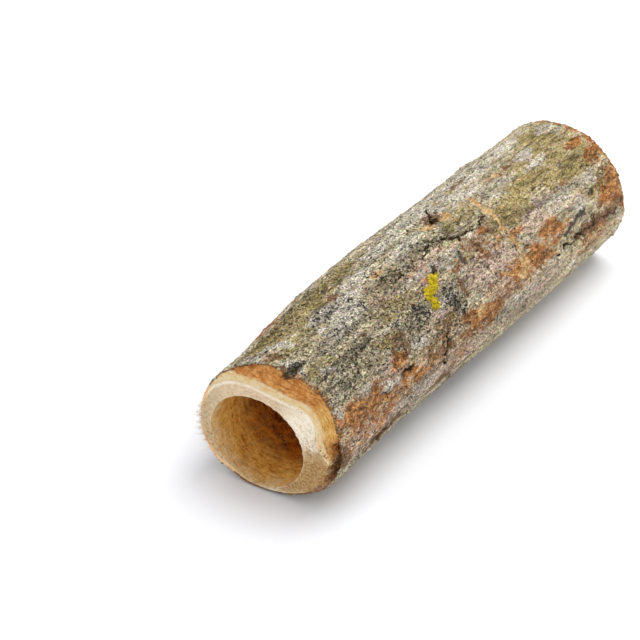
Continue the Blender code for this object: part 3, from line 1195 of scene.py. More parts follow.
    def lay_map(
        self, mesh: Mesh, sections: Sequence[Section], zones: Array, points: Array, around: Array
    ) -> None:
        """Unroll the bark and the hole and lay both faces flat beside them, in one square.

        Args:
            mesh: The body.
            sections: Its sections in order.
            zones: The zone of each band of faces.
            points: The grid's points, in mm.
            around: The columns' angles.
        """
        rows, columns = points.shape[:2]
        turn = np.append((around - around[0]) / 360, 1.0)
        along = points[..., 1] / self.shape.length
        first_near = rows - len(sections[-1].points) - 1
        spots = np.zeros((rows, columns, 4, 2))
        column = np.arange(columns)
        for band in range(rows):
            for corner, (down, right) in enumerate(((0, 0), (0, 1), (1, 1), (1, 0))):
                row, side = (band + down) % rows, (column + right) % columns
                if zones[band] == Zone.FACE.value:
                    middle = self.map_near_middle if band >= first_near else self.map_far_middle
                    spots[band, :, corner] = middle + points[row, side][:, (0, 2)] / self.map_face_scale
                elif zones[band] == Zone.BARK.value:
                    spots[band, :, corner, 0] = self.map_margin + self.map_bark[0] * along[row, side]
                    spots[band, :, corner, 1] = self.map_margin + self.map_bark[1] * turn[column + right]
                else:
                    spots[band, :, corner, 0] = self.map_bore_left + self.map_bore[0] * turn[column + right]
                    spots[band, :, corner, 1] = self.map_margin + self.map_bore[1] * along[row, side]
        layer = mesh.uv_layers.new(name="OFBake")
        layer.data.foreach_set("uv", spots.astype(np.float32).ravel())


def socket_key(tree: NodeTree, name: str) -> str:
    """Identifier of a tree's input from its name."""
    return next(
        item.identifier
        for item in tree.interface.items_tree
        if item.item_type == "SOCKET" and item.in_out == "INPUT" and item.name == name
    )


def labelled(values: Mapping[str, Value]) -> dict[str, Value]:
    """Values under the names that a tree's inputs give them: per_square becomes Per Square."""
    return {name.replace("_", " ").title(): value for name, value in values.items()}


def grown(
    mesh: Mesh, tree: NodeTree, inputs: Mapping[str, Value], name: str
) -> Object:
    """Run a geometry node tree on a mesh and keep its result as a plain mesh.

    Args:
        mesh: What the tree starts from.
        tree: The geometry node tree.
        inputs: Values of the tree's inputs, by name.
        name: Name of the new piece.

    Returns:
        The new object, at the origin and with no modifier.
    """
    carrier = bpy.data.objects.new(f"{name}_carrier", mesh)
    bpy.context.scene.collection.objects.link(carrier)
    modifier = carrier.modifiers.new("growth", "NODES")
    modifier.node_group = tree
    for label, value in inputs.items():
        modifier[socket_key(tree, label)] = value
    graph = bpy.context.evaluated_depsgraph_get()
    result = bpy.data.meshes.new_from_object(
        carrier.evaluated_get(graph), preserve_all_data_layers=True, depsgraph=graph
    )
    carrier.modifiers.remove(modifier)
    bpy.data.objects.remove(carrier)
    result.name = name
    piece = bpy.data.objects.new(name, result)
    bpy.context.scene.collection.objects.link(piece)
    return piece


class GrowthSheet(Sheet):
    """A sheet for geometry node trees."""

    def __init__(self, name: str, inlets: Sequence[tuple]) -> None:
        """Start a tree that takes a geometry and the named inputs, and gives a geometry.

        Args:
            name: The tree's name.
            inlets: Name, kind and default of each input.
        """
        super().__init__(bpy.data.node_groups.new(name, "GeometryNodeTree"))
        self.inlet("Geometry", "NodeSocketGeometry")
        for inlet in inlets:
            self.inlet(*inlet)
        self.outlet("Geometry", "NodeSocketGeometry")
        self.given = self.add("NodeGroupInput").outputs
        self.result = self.add("NodeGroupOutput").inputs

    def held(self, name: Value, kind: str = "FLOAT") -> Socket:
        """Value that a named attribute holds."""
        node = self.add("GeometryNodeInputNamedAttribute", {"Name": name}, data_type=kind)
        return node.outputs["Attribute"]

    def stored(self, geometry: Socket, name: str, value: Socket, domain: str) -> Socket:
        """Keep a value as a named attribute."""
        feeds = {"Geometry": geometry, "Name": name, "Value": value}
        return self.add("GeometryNodeStoreNamedAttribute", feeds, data_type="FLOAT", domain=domain).outputs[0]

    def draw(self, low: Value, high: Value, seed: Value) -> Socket:
        """Random value for each element."""
        feeds = {2: low, 3: high, "Seed": seed}
        return self.add("FunctionNodeRandomValue", feeds, data_type="FLOAT").outputs[1]

    def draw_vector(self, seed: Value) -> Socket:
        """Random vector with parts from -1 to 1 for each element."""
        feeds = {0: (-1.0,) * 3, 1: (1.0,) * 3, "Seed": seed}
        return self.add("FunctionNodeRandomValue", feeds, data_type="FLOAT_VECTOR").outputs[0]

    def on_bed(self, geometry: Socket) -> Socket:
        """Keep every point at or above the surface that the log lies on.

        Args:
            geometry: What to keep above the floor.

        Returns:
            The raised geometry.
        """
        position = self.add("GeometryNodeInputPosition").outputs[0]
        parts = self.add("ShaderNodeSeparateXYZ", {0: position}).outputs
        place = self.vector(parts[0], parts[1], self.math("MAXIMUM", parts[2], LOWEST))
        return self.add("GeometryNodeSetPosition", {"Geometry": geometry, "Position": place}).outputs[0]

    def dressed(self, geometry: Socket, finish: Value, selection: Value = True) -> Socket:
        """Give faces a material."""
        feeds = {"Geometry": geometry, "Selection": selection, "Material": finish}
        return self.add("GeometryNodeSetMaterial", feeds).outputs[0]


@dataclass(frozen=True)
class Relief:
    """Heights of the body's surface detail, in millimetres, and its tree."""

    ridge_height: float = 0.42
    bump_height: float = 0.34
    grit_height: float = 0.20
    plate_height: float = 0.24
    crust_height: float = 0.26
    cleft_depth: float = 1.0
    bast_height: float = 0.45
    saw_mark_height: float = 0.10
    drill_mark_height: float = 0.12

    def inputs(self, finishes: Mapping[Zone, Material]) -> dict[str, Value]:
        """Values for the tree's inputs."""
        return labelled(vars(self)) | {zone.label: finish for zone, finish in finishes.items()}

    def bark_height(self, sheet: GrowthSheet, place: Socket) -> Socket:
        """Height of the bark's ridges, plates, crust and clefts.

        Args:
            sheet: Its tree.
            place: Position in millimetres.

        Returns:
            Height in millimetres.
        """
        given = sheet.given
        feeds = {"Vector": sheet.zoomed(place, 0.3), "Scale": 1.0}
        warp = sheet.zoomed(sheet.add("ShaderNodeTexNoise", feeds).outputs[1], 2.2)
        cracked = sheet.moved(sheet.scaled(place, (0.42, 0.17, 0.42)), warp)
        seam = sheet.step(sheet.cells(cracked, "DISTANCE_TO_EDGE").outputs["Distance"], 0.14, 0.0)
        worn = sheet.line(sheet.held(Mask.SPECKLE.value), 0.9, 0.35)
        fine = sheet.moved(sheet.scaled(place, (0.95, 0.5, 0.95)), warp)
        fine_seam = sheet.step(sheet.cells(fine, "DISTANCE_TO_EDGE").outputs["Distance"], 0.16, 0.0)
        rough = sheet.noise(sheet.scaled(place, (1.1, 0.8, 1.1)), 4.0, 0.65, 0.4)
        broken = sheet.minus(rough, 0.5)
        crusted = sheet.step(sheet.line(broken, 1.3, sheet.held(Mask.CRUST.value)), 0.42, 0.6)
        open_mask, torn_mask = sheet.held(Mask.CLEFT.value), sheet.held(Mask.GOLD.value)
        cleft = sheet.step(sheet.line(broken, 0.6, open_mask), 0.35, 1.0)
        lips = sheet.product(sheet.step(open_mask, 0.0, 0.25), sheet.minus(1.0, cleft), 0.22)
        torn = sheet.product(sheet.step(torn_mask, 0.35, 0.8), -0.45)
        fibres = sheet.swing(sheet.scaled(place, (2.6, 0.22, 2.6)), torn_mask, 2.0)
        waves = (
            ((0.4, 0.055, 0.4), 2.0, "Ridge Height"),
            ((0.62, 0.34, 0.62), 3.0, "Bump Height"),
            ((1.7, 1.0, 1.7), 3.0, "Grit Height"),
        )
        return sheet.sum(
            *(
                sheet.product(sheet.swing(sheet.scaled(place, size), 3.0, detail, 0.55, 0.3), given[name])
                for size, detail, name in waves
            ),
            sheet.product(seam, -1.0, worn, given["Plate Height"]),
            sheet.product(fine_seam, -0.55, worn, given["Plate Height"]),
            sheet.product(crusted, given["Crust Height"]),
            sheet.product(cleft, -1.0, given["Cleft Depth"]),
            lips,
            torn,
            fibres,
        )

    def tree(self) -> NodeTree:
        """Tree that raises the surface, keeps its height as an attribute and dresses its zones.

        Returns:
            The tree.
        """
        inlets = [(label, FLOAT, height) for label, height in labelled(vars(self)).items()]
        inlets += [(zone.label, "NodeSocketMaterial") for zone in Zone]
        sheet = GrowthSheet("log_relief", inlets)
        given = sheet.given
        place = sheet.zoomed(sheet.add("GeometryNodeInputPosition").outputs[0], 1 / MM)
        bark = sheet.product(self.bark_height(sheet, place), sheet.held("skin"))
        grain = sheet.noise(sheet.zoomed(place, 1.25), 4.0, 0.7, 0.3)
        bast = sheet.product(sheet.minus(grain, 0.5), 2.6, given["Bast Height"], sheet.held("bast"))
        saw = sheet.noise(sheet.scaled(place, (0.5, 1.0, 1.6)), 3.0, 0.6)
        timber = sheet.product(sheet.minus(saw, 0.5), 2.0, given["Saw Mark Height"], sheet.held("timber"))
        turned_marks = sheet.noise(sheet.scaled(place, (0.35, 1.5, 0.35)), 3.0, 0.6)
        drill = sheet.product(
            sheet.minus(turned_marks, 0.5), 2.0, given["Drill Mark Height"], sheet.held("bored")
        )
        height = sheet.sum(bark, bast, timber, drill)
        offset = sheet.zoomed(sheet.held("lift", "FLOAT_VECTOR"), sheet.product(height, MM))
        feeds = {"Geometry": given["Geometry"], "Offset": offset}
        raised = sheet.add("GeometryNodeSetPosition", feeds).outputs[0]
        body = sheet.on_bed(sheet.stored(raised, "relief", height, "POINT"))
        body = sheet.add("GeometryNodeRealizeInstances", {"Geometry": body}).outputs[0]
        for zone in Zone:
            feeds = {2: sheet.held("zone", "INT"), 3: zone.value}
            chosen = sheet.add("FunctionNodeCompare", feeds, data_type="INT", operation="EQUAL").outputs[0]
            body = sheet.dressed(body, given[zone.label], chosen)
        sheet.feed(sheet.result[0], body)
        return sheet.tree


def strewing_tree() -> NodeTree:
    """Tree that strews copies of a small shape over the painted part of a surface.

    Returns:
        The tree, with inputs for where, how densely, how large and which way the copies lie.
    """
    sizes = ("Per Square Millimetre", "Smallest", "Largest", "Stretch")
    leans = ("Upright", "Lengthwise", "Straying", "Spin")
    inlets = [("Where", "NodeSocketString"), *((name, FLOAT) for name in sizes + leans)]
    inlets += [("Seed", "NodeSocketInt"), ("Shape", "NodeSocketObject"), ("Finish", "NodeSocketMaterial")]
    sheet = GrowthSheet("strewing", inlets)
    given = sheet.given
    share = sheet.step(sheet.held(given["Where"]), 0.25, 1.0)
    density = sheet.product(share, given["Per Square Millimetre"], 1 / MM**2)
    feeds = {"Mesh": given["Geometry"], "Density": density, "Seed": given["Seed"]}
    spots = sheet.add("GeometryNodeDistributePointsOnFaces", feeds, distribute_method="RANDOM")
    normal = sheet.zoomed(spots.outputs["Normal"], given["Upright"])
    stray = sheet.zoomed(sheet.draw_vector(given["Seed"]), given["Straying"])
    towards = sheet.moved(sheet.moved(normal, stray), sheet.vector(0.0, given["Lengthwise"], 0.0))
    half = sheet.product(given["Spin"], -1.0)
    spin = sheet.vector(0.0, 0.0, sheet.draw(half, given["Spin"], given["Seed"]))
    turn = sheet.add("FunctionNodeEulerToRotation", {0: spin}).outputs[0]
    feeds = {"Rotation": turn, "Vector": towards}
    turn = sheet.add("FunctionNodeAlignRotationToVector", feeds, axis="Z").outputs[0]
    size = sheet.product(sheet.draw(given["Smallest"], given["Largest"], given["Seed"]), MM)
    uneven = sheet.draw(0.65, 1.35, sheet.math("ADD", given["Seed"], 1.0))
    feeds = {
        "Points": spots.outputs["Points"],
        "Instance": sheet.add("GeometryNodeObjectInfo", {"Object": given["Shape"]}).outputs["Geometry"],
        "Rotation": turn,
        "Scale": sheet.vector(sheet.product(size, uneven), sheet.product(size, given["Stretch"]), size),
    }
    copies = sheet.add("GeometryNodeInstanceOnPoints", feeds).outputs[0]
    copies = sheet.stored(copies, "tint", sheet.draw(0.05, 1.0, given["Seed"]), "INSTANCE")
    strewn = sheet.add("GeometryNodeRealizeInstances", {"Geometry": copies}).outputs[0]
    sheet.feed(sheet.result[0], sheet.dressed(sheet.on_bed(strewn), given["Finish"]))
    return sheet.tree


Tones = tuple[Colour, ...]


def tones(*parts: tuple[int, int, int]) -> Tones:
    """Dark, middle and pale colours of one layer, from display colours."""
    return tuple(paint(*part) for part in parts)


class FinishSheet(Sheet):
    """A sheet for a material, with the shared effects at hand."""

    def __init__(self, tree: NodeTree, effects: Effects) -> None:
        """Start a material's tree."""
        super().__init__(tree)
        self.effects = effects

    def at(self, across: float, along: float, offset: float = 0.0) -> Socket:
        """Pattern coordinates, in features per millimetre."""
        return self.group(self.effects.place, Across=across, Along=along, Offset=offset).outputs[0]

    def mottled(self, place: Socket, colours: Tones, fine: float = 0.5, contrast: float = 1.0) -> Socket:
        """Three tones of one layer run into one another."""
        feeds = dict(zip(("Dark", "Middle", "Pale"), colours), Fine_Share=fine, Contrast=contrast)
        return self.group(self.effects.mottle, Vector=place, **feeds).outputs[0]

    def specks(self, place: Socket, density: Value, size: float) -> Socket:
        """Scattered specks."""
        return self.group(self.effects.speckle, Vector=place, Density=density, Size=size).outputs[0]

    def laid(self, share: Value, strength: Value, below: Value, above: Value) -> Socket:
        """Colour of one layer over another at some strength."""
        return self.blend(self.product(share, strength), below, above)


@dataclass(frozen=True)
class Coat:
    """A layer laid where a mask is strong, with a broken edge and stray flecks elsewhere.

    Edge and grain are the pattern coordinates of the layer's outline and of its own tones. A coat
    with a single tone is flat.
    """

    mask: Mask
    tones: Tones
    strength: float
    edge: tuple[float, ...]
    everywhere: float = 0.0
    coarse: float = 1.4
    fine: float = 1.4
    softness: float = 0.1
    grain: tuple[float, ...] = (0.8, 0.5, 7.0)
    fine_share: float = 0.5
    contrast: float = 1.0

    def area(self, sheet: FinishSheet) -> Socket:
        """Where the coat lies, from 0 to 1.

        Args:
            sheet: Its tree.

        Returns:
            The share covered.
        """
        feeds = {"Everywhere": self.everywhere, "Coarse_Break": self.coarse, "Fine_Break": self.fine}
        feeds |= {"Mask": sheet.painted(self.mask.value), "Softness": self.softness}
        return sheet.group(sheet.effects.cover, Vector=sheet.at(*self.edge), **feeds).outputs[0]

    def over(self, sheet: FinishSheet, colour: Socket, area: Socket | None = None) -> Socket:
        """Lay the coat over a colour.

        Args:
            sheet: The material's sheet.
            colour: What lies below.
            area: Where the coat lies, if that is known already.

        Returns:
            The new colour.
        """
        own: Value = self.tones[0]
        if len(self.tones) > 1:
            own = sheet.mottled(sheet.at(*self.grain), self.tones, self.fine_share, self.contrast)
        return sheet.laid(self.area(sheet) if area is None else area, self.strength, colour, own)


@dataclass(frozen=True)
class Finish:
    """A material: its name, how dull it is and how strongly its height shows."""

    name: str = "finish"
    roughness: float = 0.85
    gloss: float = 0.25
    bump: float = 1.0

    def surface(self, sheet: FinishSheet) -> Look:
        """Colour of the surface and its height in millimetres, or None where it is even."""
        raise NotImplementedError

    def build(self, effects: Effects) -> Material:
        """Make the material.

        Args:
            effects: The shared effects.

        Returns:
            The material.
        """
        material = bpy.data.materials.new(self.name)
        material.use_nodes = True
        sheet = FinishSheet(material.node_tree, effects)
        colour, height = self.surface(sheet)
        feeds = {"Base Color": colour, "Roughness": self.roughness, "Specular IOR Level": self.gloss}
        if height is not None:
            raised = {"Strength": self.bump, "Distance": MM, "Height": height}
            feeds["Normal"] = sheet.add("ShaderNodeBump", raised).outputs[0]
        shader = sheet.add("ShaderNodeBsdfPrincipled", feeds)
        sheet.add("ShaderNodeOutputMaterial", {"Surface": shader.outputs[0]})
        return material


@dataclass(frozen=True)
class BarkFinish(Finish):
    """Grey bark under algae, lichen crust, rust-coloured cork and dark specks; painted shade in hollows."""

    name: str = "grey_bark"
    bark: Tones = tones((130, 122, 89), (217, 206, 173), (248, 245, 236))
    growths: tuple[Coat, ...] = (
        Coat(Mask.LILAC, tones((158, 132, 118), (222, 198, 178), (250, 238, 228)), 0.85,
             (0.8, 0.5, 7.0), 0.06, 1.6, 1.2, 0.3),
        Coat(Mask.OLIVE, tones((102, 90, 44), (174, 153, 82), (212, 192, 120)), 0.75,
             (0.6, 0.34, 31.0), 0.10, 2.2, 1.5, 0.2),
        Coat(Mask.RUST, tones((150, 104, 74), (202, 150, 112), (236, 196, 162)), 0.5,
             (0.7, 0.4, 23.0), 0.16, 1.4, 1.0, 0.3),
    )
    cork: Coat = Coat(
        Mask.RUST, tones((122, 72, 32), (190, 122, 58), (240, 184, 110)), 0.9,
        (0.55, 0.3, 9.0), 0.05, 2.0, 1.5, 0.18, (0.9, 0.45, 15.0), contrast=1.7,
    )
    crust: Coat = Coat(
        Mask.CRUST, tones((188, 183, 166), (228, 223, 210), (250, 248, 240)), 0.9,
        (0.75, 0.5), 0.12, 2.0, 1.9, 0.12, (2.1, 1.25, 3.0), 0.4,
    )
    wounds: tuple[Coat, ...] = (
        Coat(Mask.SOOT, tones((40, 39, 36)), 0.85, (1.2, 0.9, 63.0), 0.0, 1.5, 2.0, 0.12),
        Coat(Mask.BROWN, tones((66, 46, 30), (118, 80, 52), (184, 118, 58)), 0.8,
             (0.8, 0.5, 7.0), 0.0, 1.4, 1.2, 0.2, (2.1, 1.25, 3.0), contrast=1.7),
        Coat(Mask.GOLD, tones((192, 128, 62), (250, 204, 132), (255, 240, 200)), 0.95,
             (1.6, 0.6, 12.0), 0.05, 0.8, 0.7, 0.2, (2.4, 0.35, 5.0), 0.5, 2.4),
        # The clefts' dark is their own dark inside and painted shade in the cracks.
        Coat(Mask.CLEFT, tones((36, 28, 18), (62, 44, 28), (118, 80, 52)), 1.0,
             (1.4, 1.1, 2.0), 0.0, 0.7, 1.0, 0.2, (2.1, 1.25, 3.0)),
    )
    # Dark of pits, furrows and veins, also laid as painted shade in the relief's hollows.
    pit: Colour = paint(42, 37, 26)
    speck: Colour = paint(30, 28, 24)
    lichen: Colour = paint(176, 152, 16)
    greenish: Colour = (0.92, 0.98, 0.78, 1.0)
    pinkish: Colour = (1.12, 0.98, 1.07, 1.0)
    dark_fleck: float = 0.40
    pale_fleck: float = 1.18

    def surface(self, sheet: FinishSheet) -> Look:
        """Colour and height of the bark.

        Args:
            sheet: Its tree.

        Returns:
            Colour, and height in millimetres.
        """
        effects = sheet.effects
        cork, crusted = self.cork.area(sheet), self.crust.area(sheet)
        rough = sheet.painted(Mask.SPECKLE.value)
        length = sheet.add("ShaderNodeSeparateXYZ", {0: sheet.at(0.01, 0.01)}).outputs[1]
        calm = sheet.step(length, -0.15, 0.65)
        quiet = sheet.line(calm, -0.5, 1.0)
        lively = sheet.product(sheet.line(cork, -0.55, 1.0), quiet)
        feeds = {"Dark_Factor": self.dark_fleck, "Pale_Factor": self.pale_fleck}
        feeds["Pit_Level"] = sheet.line(rough, 0.035, 0.41)
        flecks = sheet.group(effects.flecks, Vector=sheet.at(2.3, 1.6, 11.0), **feeds).outputs
        colour = sheet.mottled(sheet.at(0.34, 0.17), self.bark)
        for coat in self.growths:
            colour = coat.over(sheet, colour)
        colour = self.crust.over(sheet, self.cork.over(sheet, colour, cork), crusted)
        hues = sheet.step(sheet.noise(sheet.at(0.9, 0.6, 91.0), 4.0, 0.75), 0.36, 0.64)
        colour = sheet.tinted(colour, sheet.blend(hues, self.greenish, self.pinkish))
        colour = sheet.shade(colour, sheet.line(sheet.minus(flecks["Factor"], 1.0), lively, 1.0))
        colour = sheet.shade(colour, sheet.sum(sheet.line(rough, -0.17, 1.12), sheet.product(cork, -0.13)))
        streaks = sheet.step(sheet.noise(sheet.at(0.42, 0.05, 77.0), 3.0, 0.55, 0.6), 0.3, 0.7)
        colour = sheet.shade(colour, sheet.line(streaks, 0.5, 0.78))
        flake = sheet.painted("tint")
        shift = sheet.product(sheet.step(flake, 0.0, 0.01), sheet.line(flake, 0.5, -0.25))
        colour = sheet.shade(colour, sheet.sum(shift, 1.0))
        pits = sheet.product(flecks["Pits"], lively)
        colour = sheet.laid(pits, sheet.line(rough, 0.05, 0.92), colour, self.pit)
        furrows = sheet.group(effects.furrows, Vector=sheet.at(0.62, 0.15, 50.0), Width=0.07).outputs[0]
        colour = sheet.laid(furrows, 0.7, colour, self.pit)
        veins = sheet.group(effects.veins, Vector=sheet.at(0.55, 0.3, 19.0), Width=0.020).outputs[0]
        colour = sheet.laid(sheet.product(veins, quiet), 0.72, colour, self.pit)
        dots = sheet.specks(sheet.at(1.5, 1.25, 40.0), sheet.line(rough, 0.36, 0.22), 0.5)
        colour = sheet.laid(dots, sheet.line(calm, -0.36, 0.9), colour, self.speck)
        # Painted shade: darkened towards the pit colour where the relief sinks in.
        hollow = sheet.step(sheet.painted("relief"), 0.02, -0.5)
        colour = sheet.laid(hollow, 0.55, colour, self.pit)
        colour = sheet.blend(sheet.step(sheet.painted(Mask.LICHEN.value), 0.35, 0.75), colour, self.lichen)
        height = sheet.group(effects.tooth, Vector=sheet.at(2.6, 1.7, 1.0), Coarse=0.19, Fine=0.09).outputs[0]
        raised = sheet.sum(height, flecks["Height"], sheet.product(crusted, 0.12))
        depths = ((furrows, -0.25), (veins, -0.15), (dots, -0.08))
        sunk = sheet.sum(*(sheet.product(*depth) for depth in depths))
        for coat in self.wounds:
            colour = coat.over(sheet, colour)
        return colour, sheet.sum(raised, sunk)


@dataclass(frozen=True)
class SawnFinish(Finish):
    """Sawn ends: cream wood, a peach and orange layer of inner bark, dark outer edge partly painted shadow.
    """

    name: str = "sawn_wood"
    roughness: float = 0.75
    bump: float = 0.9
    wood: Tones = tones((158, 132, 96), (204, 182, 144), (228, 208, 174))
    cream: Tones = tones((222, 196, 156), (248, 236, 212), (255, 250, 238))
    drab: Tones = tones((178, 148, 114), (224, 199, 164), (238, 216, 186))
    peach: Tones = tones((250, 186, 114), (255, 226, 168), (255, 246, 220))
    bast: Tones = tones((138, 74, 26), (228, 146, 66), (255, 200, 124))
    amber: Tones = tones((178, 112, 40), (240, 178, 86), (255, 226, 154))
    brown: Tones = tones((52, 32, 18), (122, 70, 34), (176, 108, 52))
    dust: Coat = Coat(
        Mask.DUST, tones((92, 58, 26), (170, 128, 72), (222, 188, 130)), 0.9, (0.9, 0.9, 27.0),
        softness=0.34, grain=(1.5, 1.5, 8.0), fine_share=0.6, contrast=1.3,
    )
    split: Coat = Coat(
        Mask.CLEFT, brown, 0.85, (0.9, 0.9, 44.0), 0.1, grain=(1.5, 1.5, 8.0), contrast=1.8,
    )
    moss: Coat = Coat(Mask.MOSS, brown[:1], 0.85, (1.1, 1.1, 33.0), coarse=1.2)
    # Outer bark's dark colour at the face's edge, with painted shadow under the broken bark edge.
    rind: Colour = paint(92, 80, 60)
    dirt: Colour = paint(92, 68, 44)

    def timber(self, sheet: FinishSheet, inside: Socket, layered: Socket, wander: Socket) -> Socket:
        """Colour of the wood.

        Args:
            sheet: The material's sheet.
            inside: Distance in from the wood's edge.
            layered: Pattern coordinates that follow that edge.
            wander: Uneven distance either side of zero.

        Returns:
            The wood's colour.
        """
        cream = sheet.mottled(layered, self.cream, contrast=1.5)
        wood = sheet.mottled(sheet.at(1.3, 1.3, 2.0), self.wood, contrast=1.3)
        drab = sheet.mottled(sheet.at(1.0, 1.0, 11.0), self.drab, 0.6, 1.4)
        colour = sheet.blend(sheet.step(sheet.painted(Mask.DRAB.value), 0.2, 0.8), wood, drab)
        colour = sheet.blend(sheet.step(sheet.painted(Mask.CREAM.value), 0.15, 0.8), colour, cream)
        # Cream band along the wood's edge: pale wood with a painted highlight on that edge.
        pale_edge_and_highlight = sheet.step(sheet.sum(inside, sheet.product(wander, 0.4)), 1.3, 0.4)
        colour = sheet.laid(pale_edge_and_highlight, 0.8, colour, cream)
        colour = self.dust.over(sheet, colour)
        out_left = sheet.step(sheet.painted("arc"), -16.0, -26.0)
        rim = sheet.product(out_left, sheet.step(sheet.sum(sheet.painted("from_bark"), wander), 2.2, 1.2))
        colour = sheet.laid(rim, 0.7, colour, self.peach[0])
        colour = sheet.laid(sheet.specks(sheet.at(1.25, 1.25, 21.0), 0.34, 0.26), 0.75, colour, self.dirt)
        lip = sheet.step(sheet.painted("from_bore"), 0.55, 0.0)
        return sheet.laid(lip, 0.45, colour, cream)

    def inner_bark(
        self, sheet: FinishSheet, inside: Socket, layered: Socket, fibrous: Socket, wander: Socket
    ) -> Socket:
        """Colour of the inner bark: peach next to the wood, orange further out.

        Args:
            sheet: The material's sheet.
            inside: Distance in from the wood's edge.
            layered: Pattern coordinates that follow that edge.
            fibrous: The same with finer layers.
            wander: Uneven distance either side of zero.

        Returns:
            The inner bark's colour.
        """
        bast = sheet.mottled(sheet.at(0.7, 0.7, 8.0), self.bast, 0.35, 1.7)
        bast = sheet.blend(0.55, bast, sheet.mottled(layered, self.bast, contrast=2.4))
        charred = sheet.step(sheet.sum(sheet.painted("from_bark"), wander), 2.2, 0.4)
        bast = sheet.laid(charred, 0.3, bast, self.bast[0])
        amber = sheet.mottled(fibrous, self.amber, contrast=1.9)
        bast = sheet.blend(sheet.step(sheet.painted(Mask.GOLD.value), 0.2, 0.7), bast, amber)
        outer = sheet.step(sheet.minus(wander, inside), 2.1, 3.1)
        colour = sheet.blend(outer, sheet.mottled(layered, self.peach, contrast=1.5), bast)
        seam = sheet.step(sheet.noise(fibrous, 4.0, 0.7), 0.39, 0.33)
        return sheet.laid(seam, sheet.line(outer, 0.5, 0.16), colour, self.bast[0])

    def surface(self, sheet: FinishSheet) -> Look:
        """Colour and height of the sawn face.

        Args:
            sheet: Its tree.

        Returns:
            Colour, and height in millimetres.
        """
        inside, arc = sheet.painted("inside_wood"), sheet.painted("arc")
        layered = sheet.vector(sheet.product(inside, 1.5), sheet.product(arc, 0.22), 3.0)
        fibrous = sheet.vector(sheet.product(inside, 3.4), sheet.product(arc, 0.42), 9.0)
        wander = sheet.swing(sheet.at(0.5, 0.5, 4.0), 2.4, 4.0, 0.65)
        colour = sheet.blend(
            sheet.step(sheet.painted("bast"), 0.25, 0.75),
            self.timber(sheet, inside, layered, wander),
            self.inner_bark(sheet, inside, layered, fibrous, wander),
        )
        nibbled = sheet.swing(sheet.at(1.4, 1.4, 15.0), 2.6, 3.0, 0.7)
        bare = sheet.step(sheet.painted(Mask.FUZZ.value), 0.05, 0.4)
        edge = sheet.sum(sheet.painted("from_bark"), sheet.product(wander, 0.35), nibbled, bare)
        scorched = sheet.math("MAXIMUM", sheet.painted(Mask.BROWN.value), sheet.step(edge, 0.8, 0.2))
        torn = sheet.swing(sheet.at(1.5, 1.5, 8.0), 1.4, 3.0)
        uneven = sheet.step(sheet.sum(torn, scorched), 0.3, 0.75)
        brown = sheet.mottled(sheet.at(0.9, 0.9, 8.0), self.brown, contrast=1.7)
        colour = sheet.laid(uneven, 0.88, colour, brown)
        # Dark line along the bark's edge: the outer bark's colour and painted shadow under its broken edge.
        colour = sheet.laid(sheet.step(edge, 0.25, 0.0), 0.7, colour, self.rind)
        colour = self.moss.over(sheet, self.split.over(sheet, colour))
        place = sheet.at(2.4, 2.4, 3.0)
        height = sheet.group(sheet.effects.tooth, Vector=place, Coarse=0.16, Fine=0.12).outputs[0]
        rough = sheet.product(height, sheet.line(sheet.painted("bast"), 1.8, 0.6))
        strands = sheet.product(sheet.noise(fibrous, 3.0), sheet.painted("bast"), 0.3)
        return colour, sheet.sum(rough, strands)


@dataclass(frozen=True)
class BoreFinish(Finish):
    """Drilled wall: pale at the lip, then golden, then orange-brown painted shade further in, with turned
    scratches.
    """

    name: str = "drilled_wood"
    roughness: float = 0.7
    bump: float = 0.8
    lip: Tones = tones((200, 160, 100), (238, 208, 154), (252, 234, 194))
    golden: Tones = tones((168, 100, 22), (234, 174, 76), (252, 216, 130))
    # Tones of the painted shade deep in the hole.
    stain: Tones = tones((98, 40, 2), (180, 96, 12), (224, 148, 42))

    def surface(self, sheet: FinishSheet) -> Look:
        """Colour and height of the hole's wall.

        Args:
            sheet: Its tree.

        Returns:
            Colour, and height in millimetres.
        """
        scratched = sheet.at(0.34, 0.9)
        # Painted shade: the wall darkens with depth, sooner where the mask is strong.
        depth = sheet.sum(sheet.painted("depth"), sheet.swing(sheet.at(0.22, 0.22, 4.0), 14.0, 4.0, 0.7))
        shaded_deeper = sheet.painted(Mask.BROWN.value)
        colour = sheet.blend(
            sheet.step(sheet.sum(depth, sheet.product(shaded_deeper, 6.0)), 7.5, -1.5),
            sheet.mottled(scratched, self.golden, contrast=1.6),
            sheet.mottled(sheet.at(0.5, 1.6, 3.0), self.lip, contrast=1.5),
        )
        deep = sheet.step(sheet.sum(depth, sheet.product(shaded_deeper, 12.0)), 9.0, 24.0)
        colour = sheet.blend(deep, colour, sheet.mottled(sheet.at(0.36, 0.5, 12.0), self.stain, 0.4, 1.6))
        colour = sheet.shade(colour, sheet.line(sheet.noise(sheet.at(2.1, 0.5, 9.0), 3.0, 0.65), 0.8, 0.65))
        place = sheet.at(0.8, 3.4, 6.0)
        height = sheet.group(sheet.effects.tooth, Vector=place, Coarse=0.24, Fine=0.14).outputs[0]
        return colour, height


@dataclass(frozen=True)
class GrainFinish(Finish):
    """Small strewn things between two tones, each copy with its own tint, and spots of the last."""

    name: str = "grains"
    bump: float = 0.7
    colours: Tones = tones((220, 214, 198), (176, 170, 150), (120, 112, 92))
    spots: float = 0.2

    def surface(self, sheet: FinishSheet) -> Look:
        """Colour and height of the strewn copies.

        Args:
            sheet: Its tree.

        Returns:
            Colour, and height in millimetres.
        """
        place = sheet.at(3.0, 3.0, 2.0)
        colour = sheet.blend(sheet.painted("tint"), *self.colours[:2])
        colour = sheet.laid(sheet.specks(place, self.spots, 0.5), 0.6, colour, self.colours[-1])
        height = sheet.group(sheet.effects.tooth, Vector=place, Coarse=0.08, Fine=0.05).outputs[0]
        return colour, height


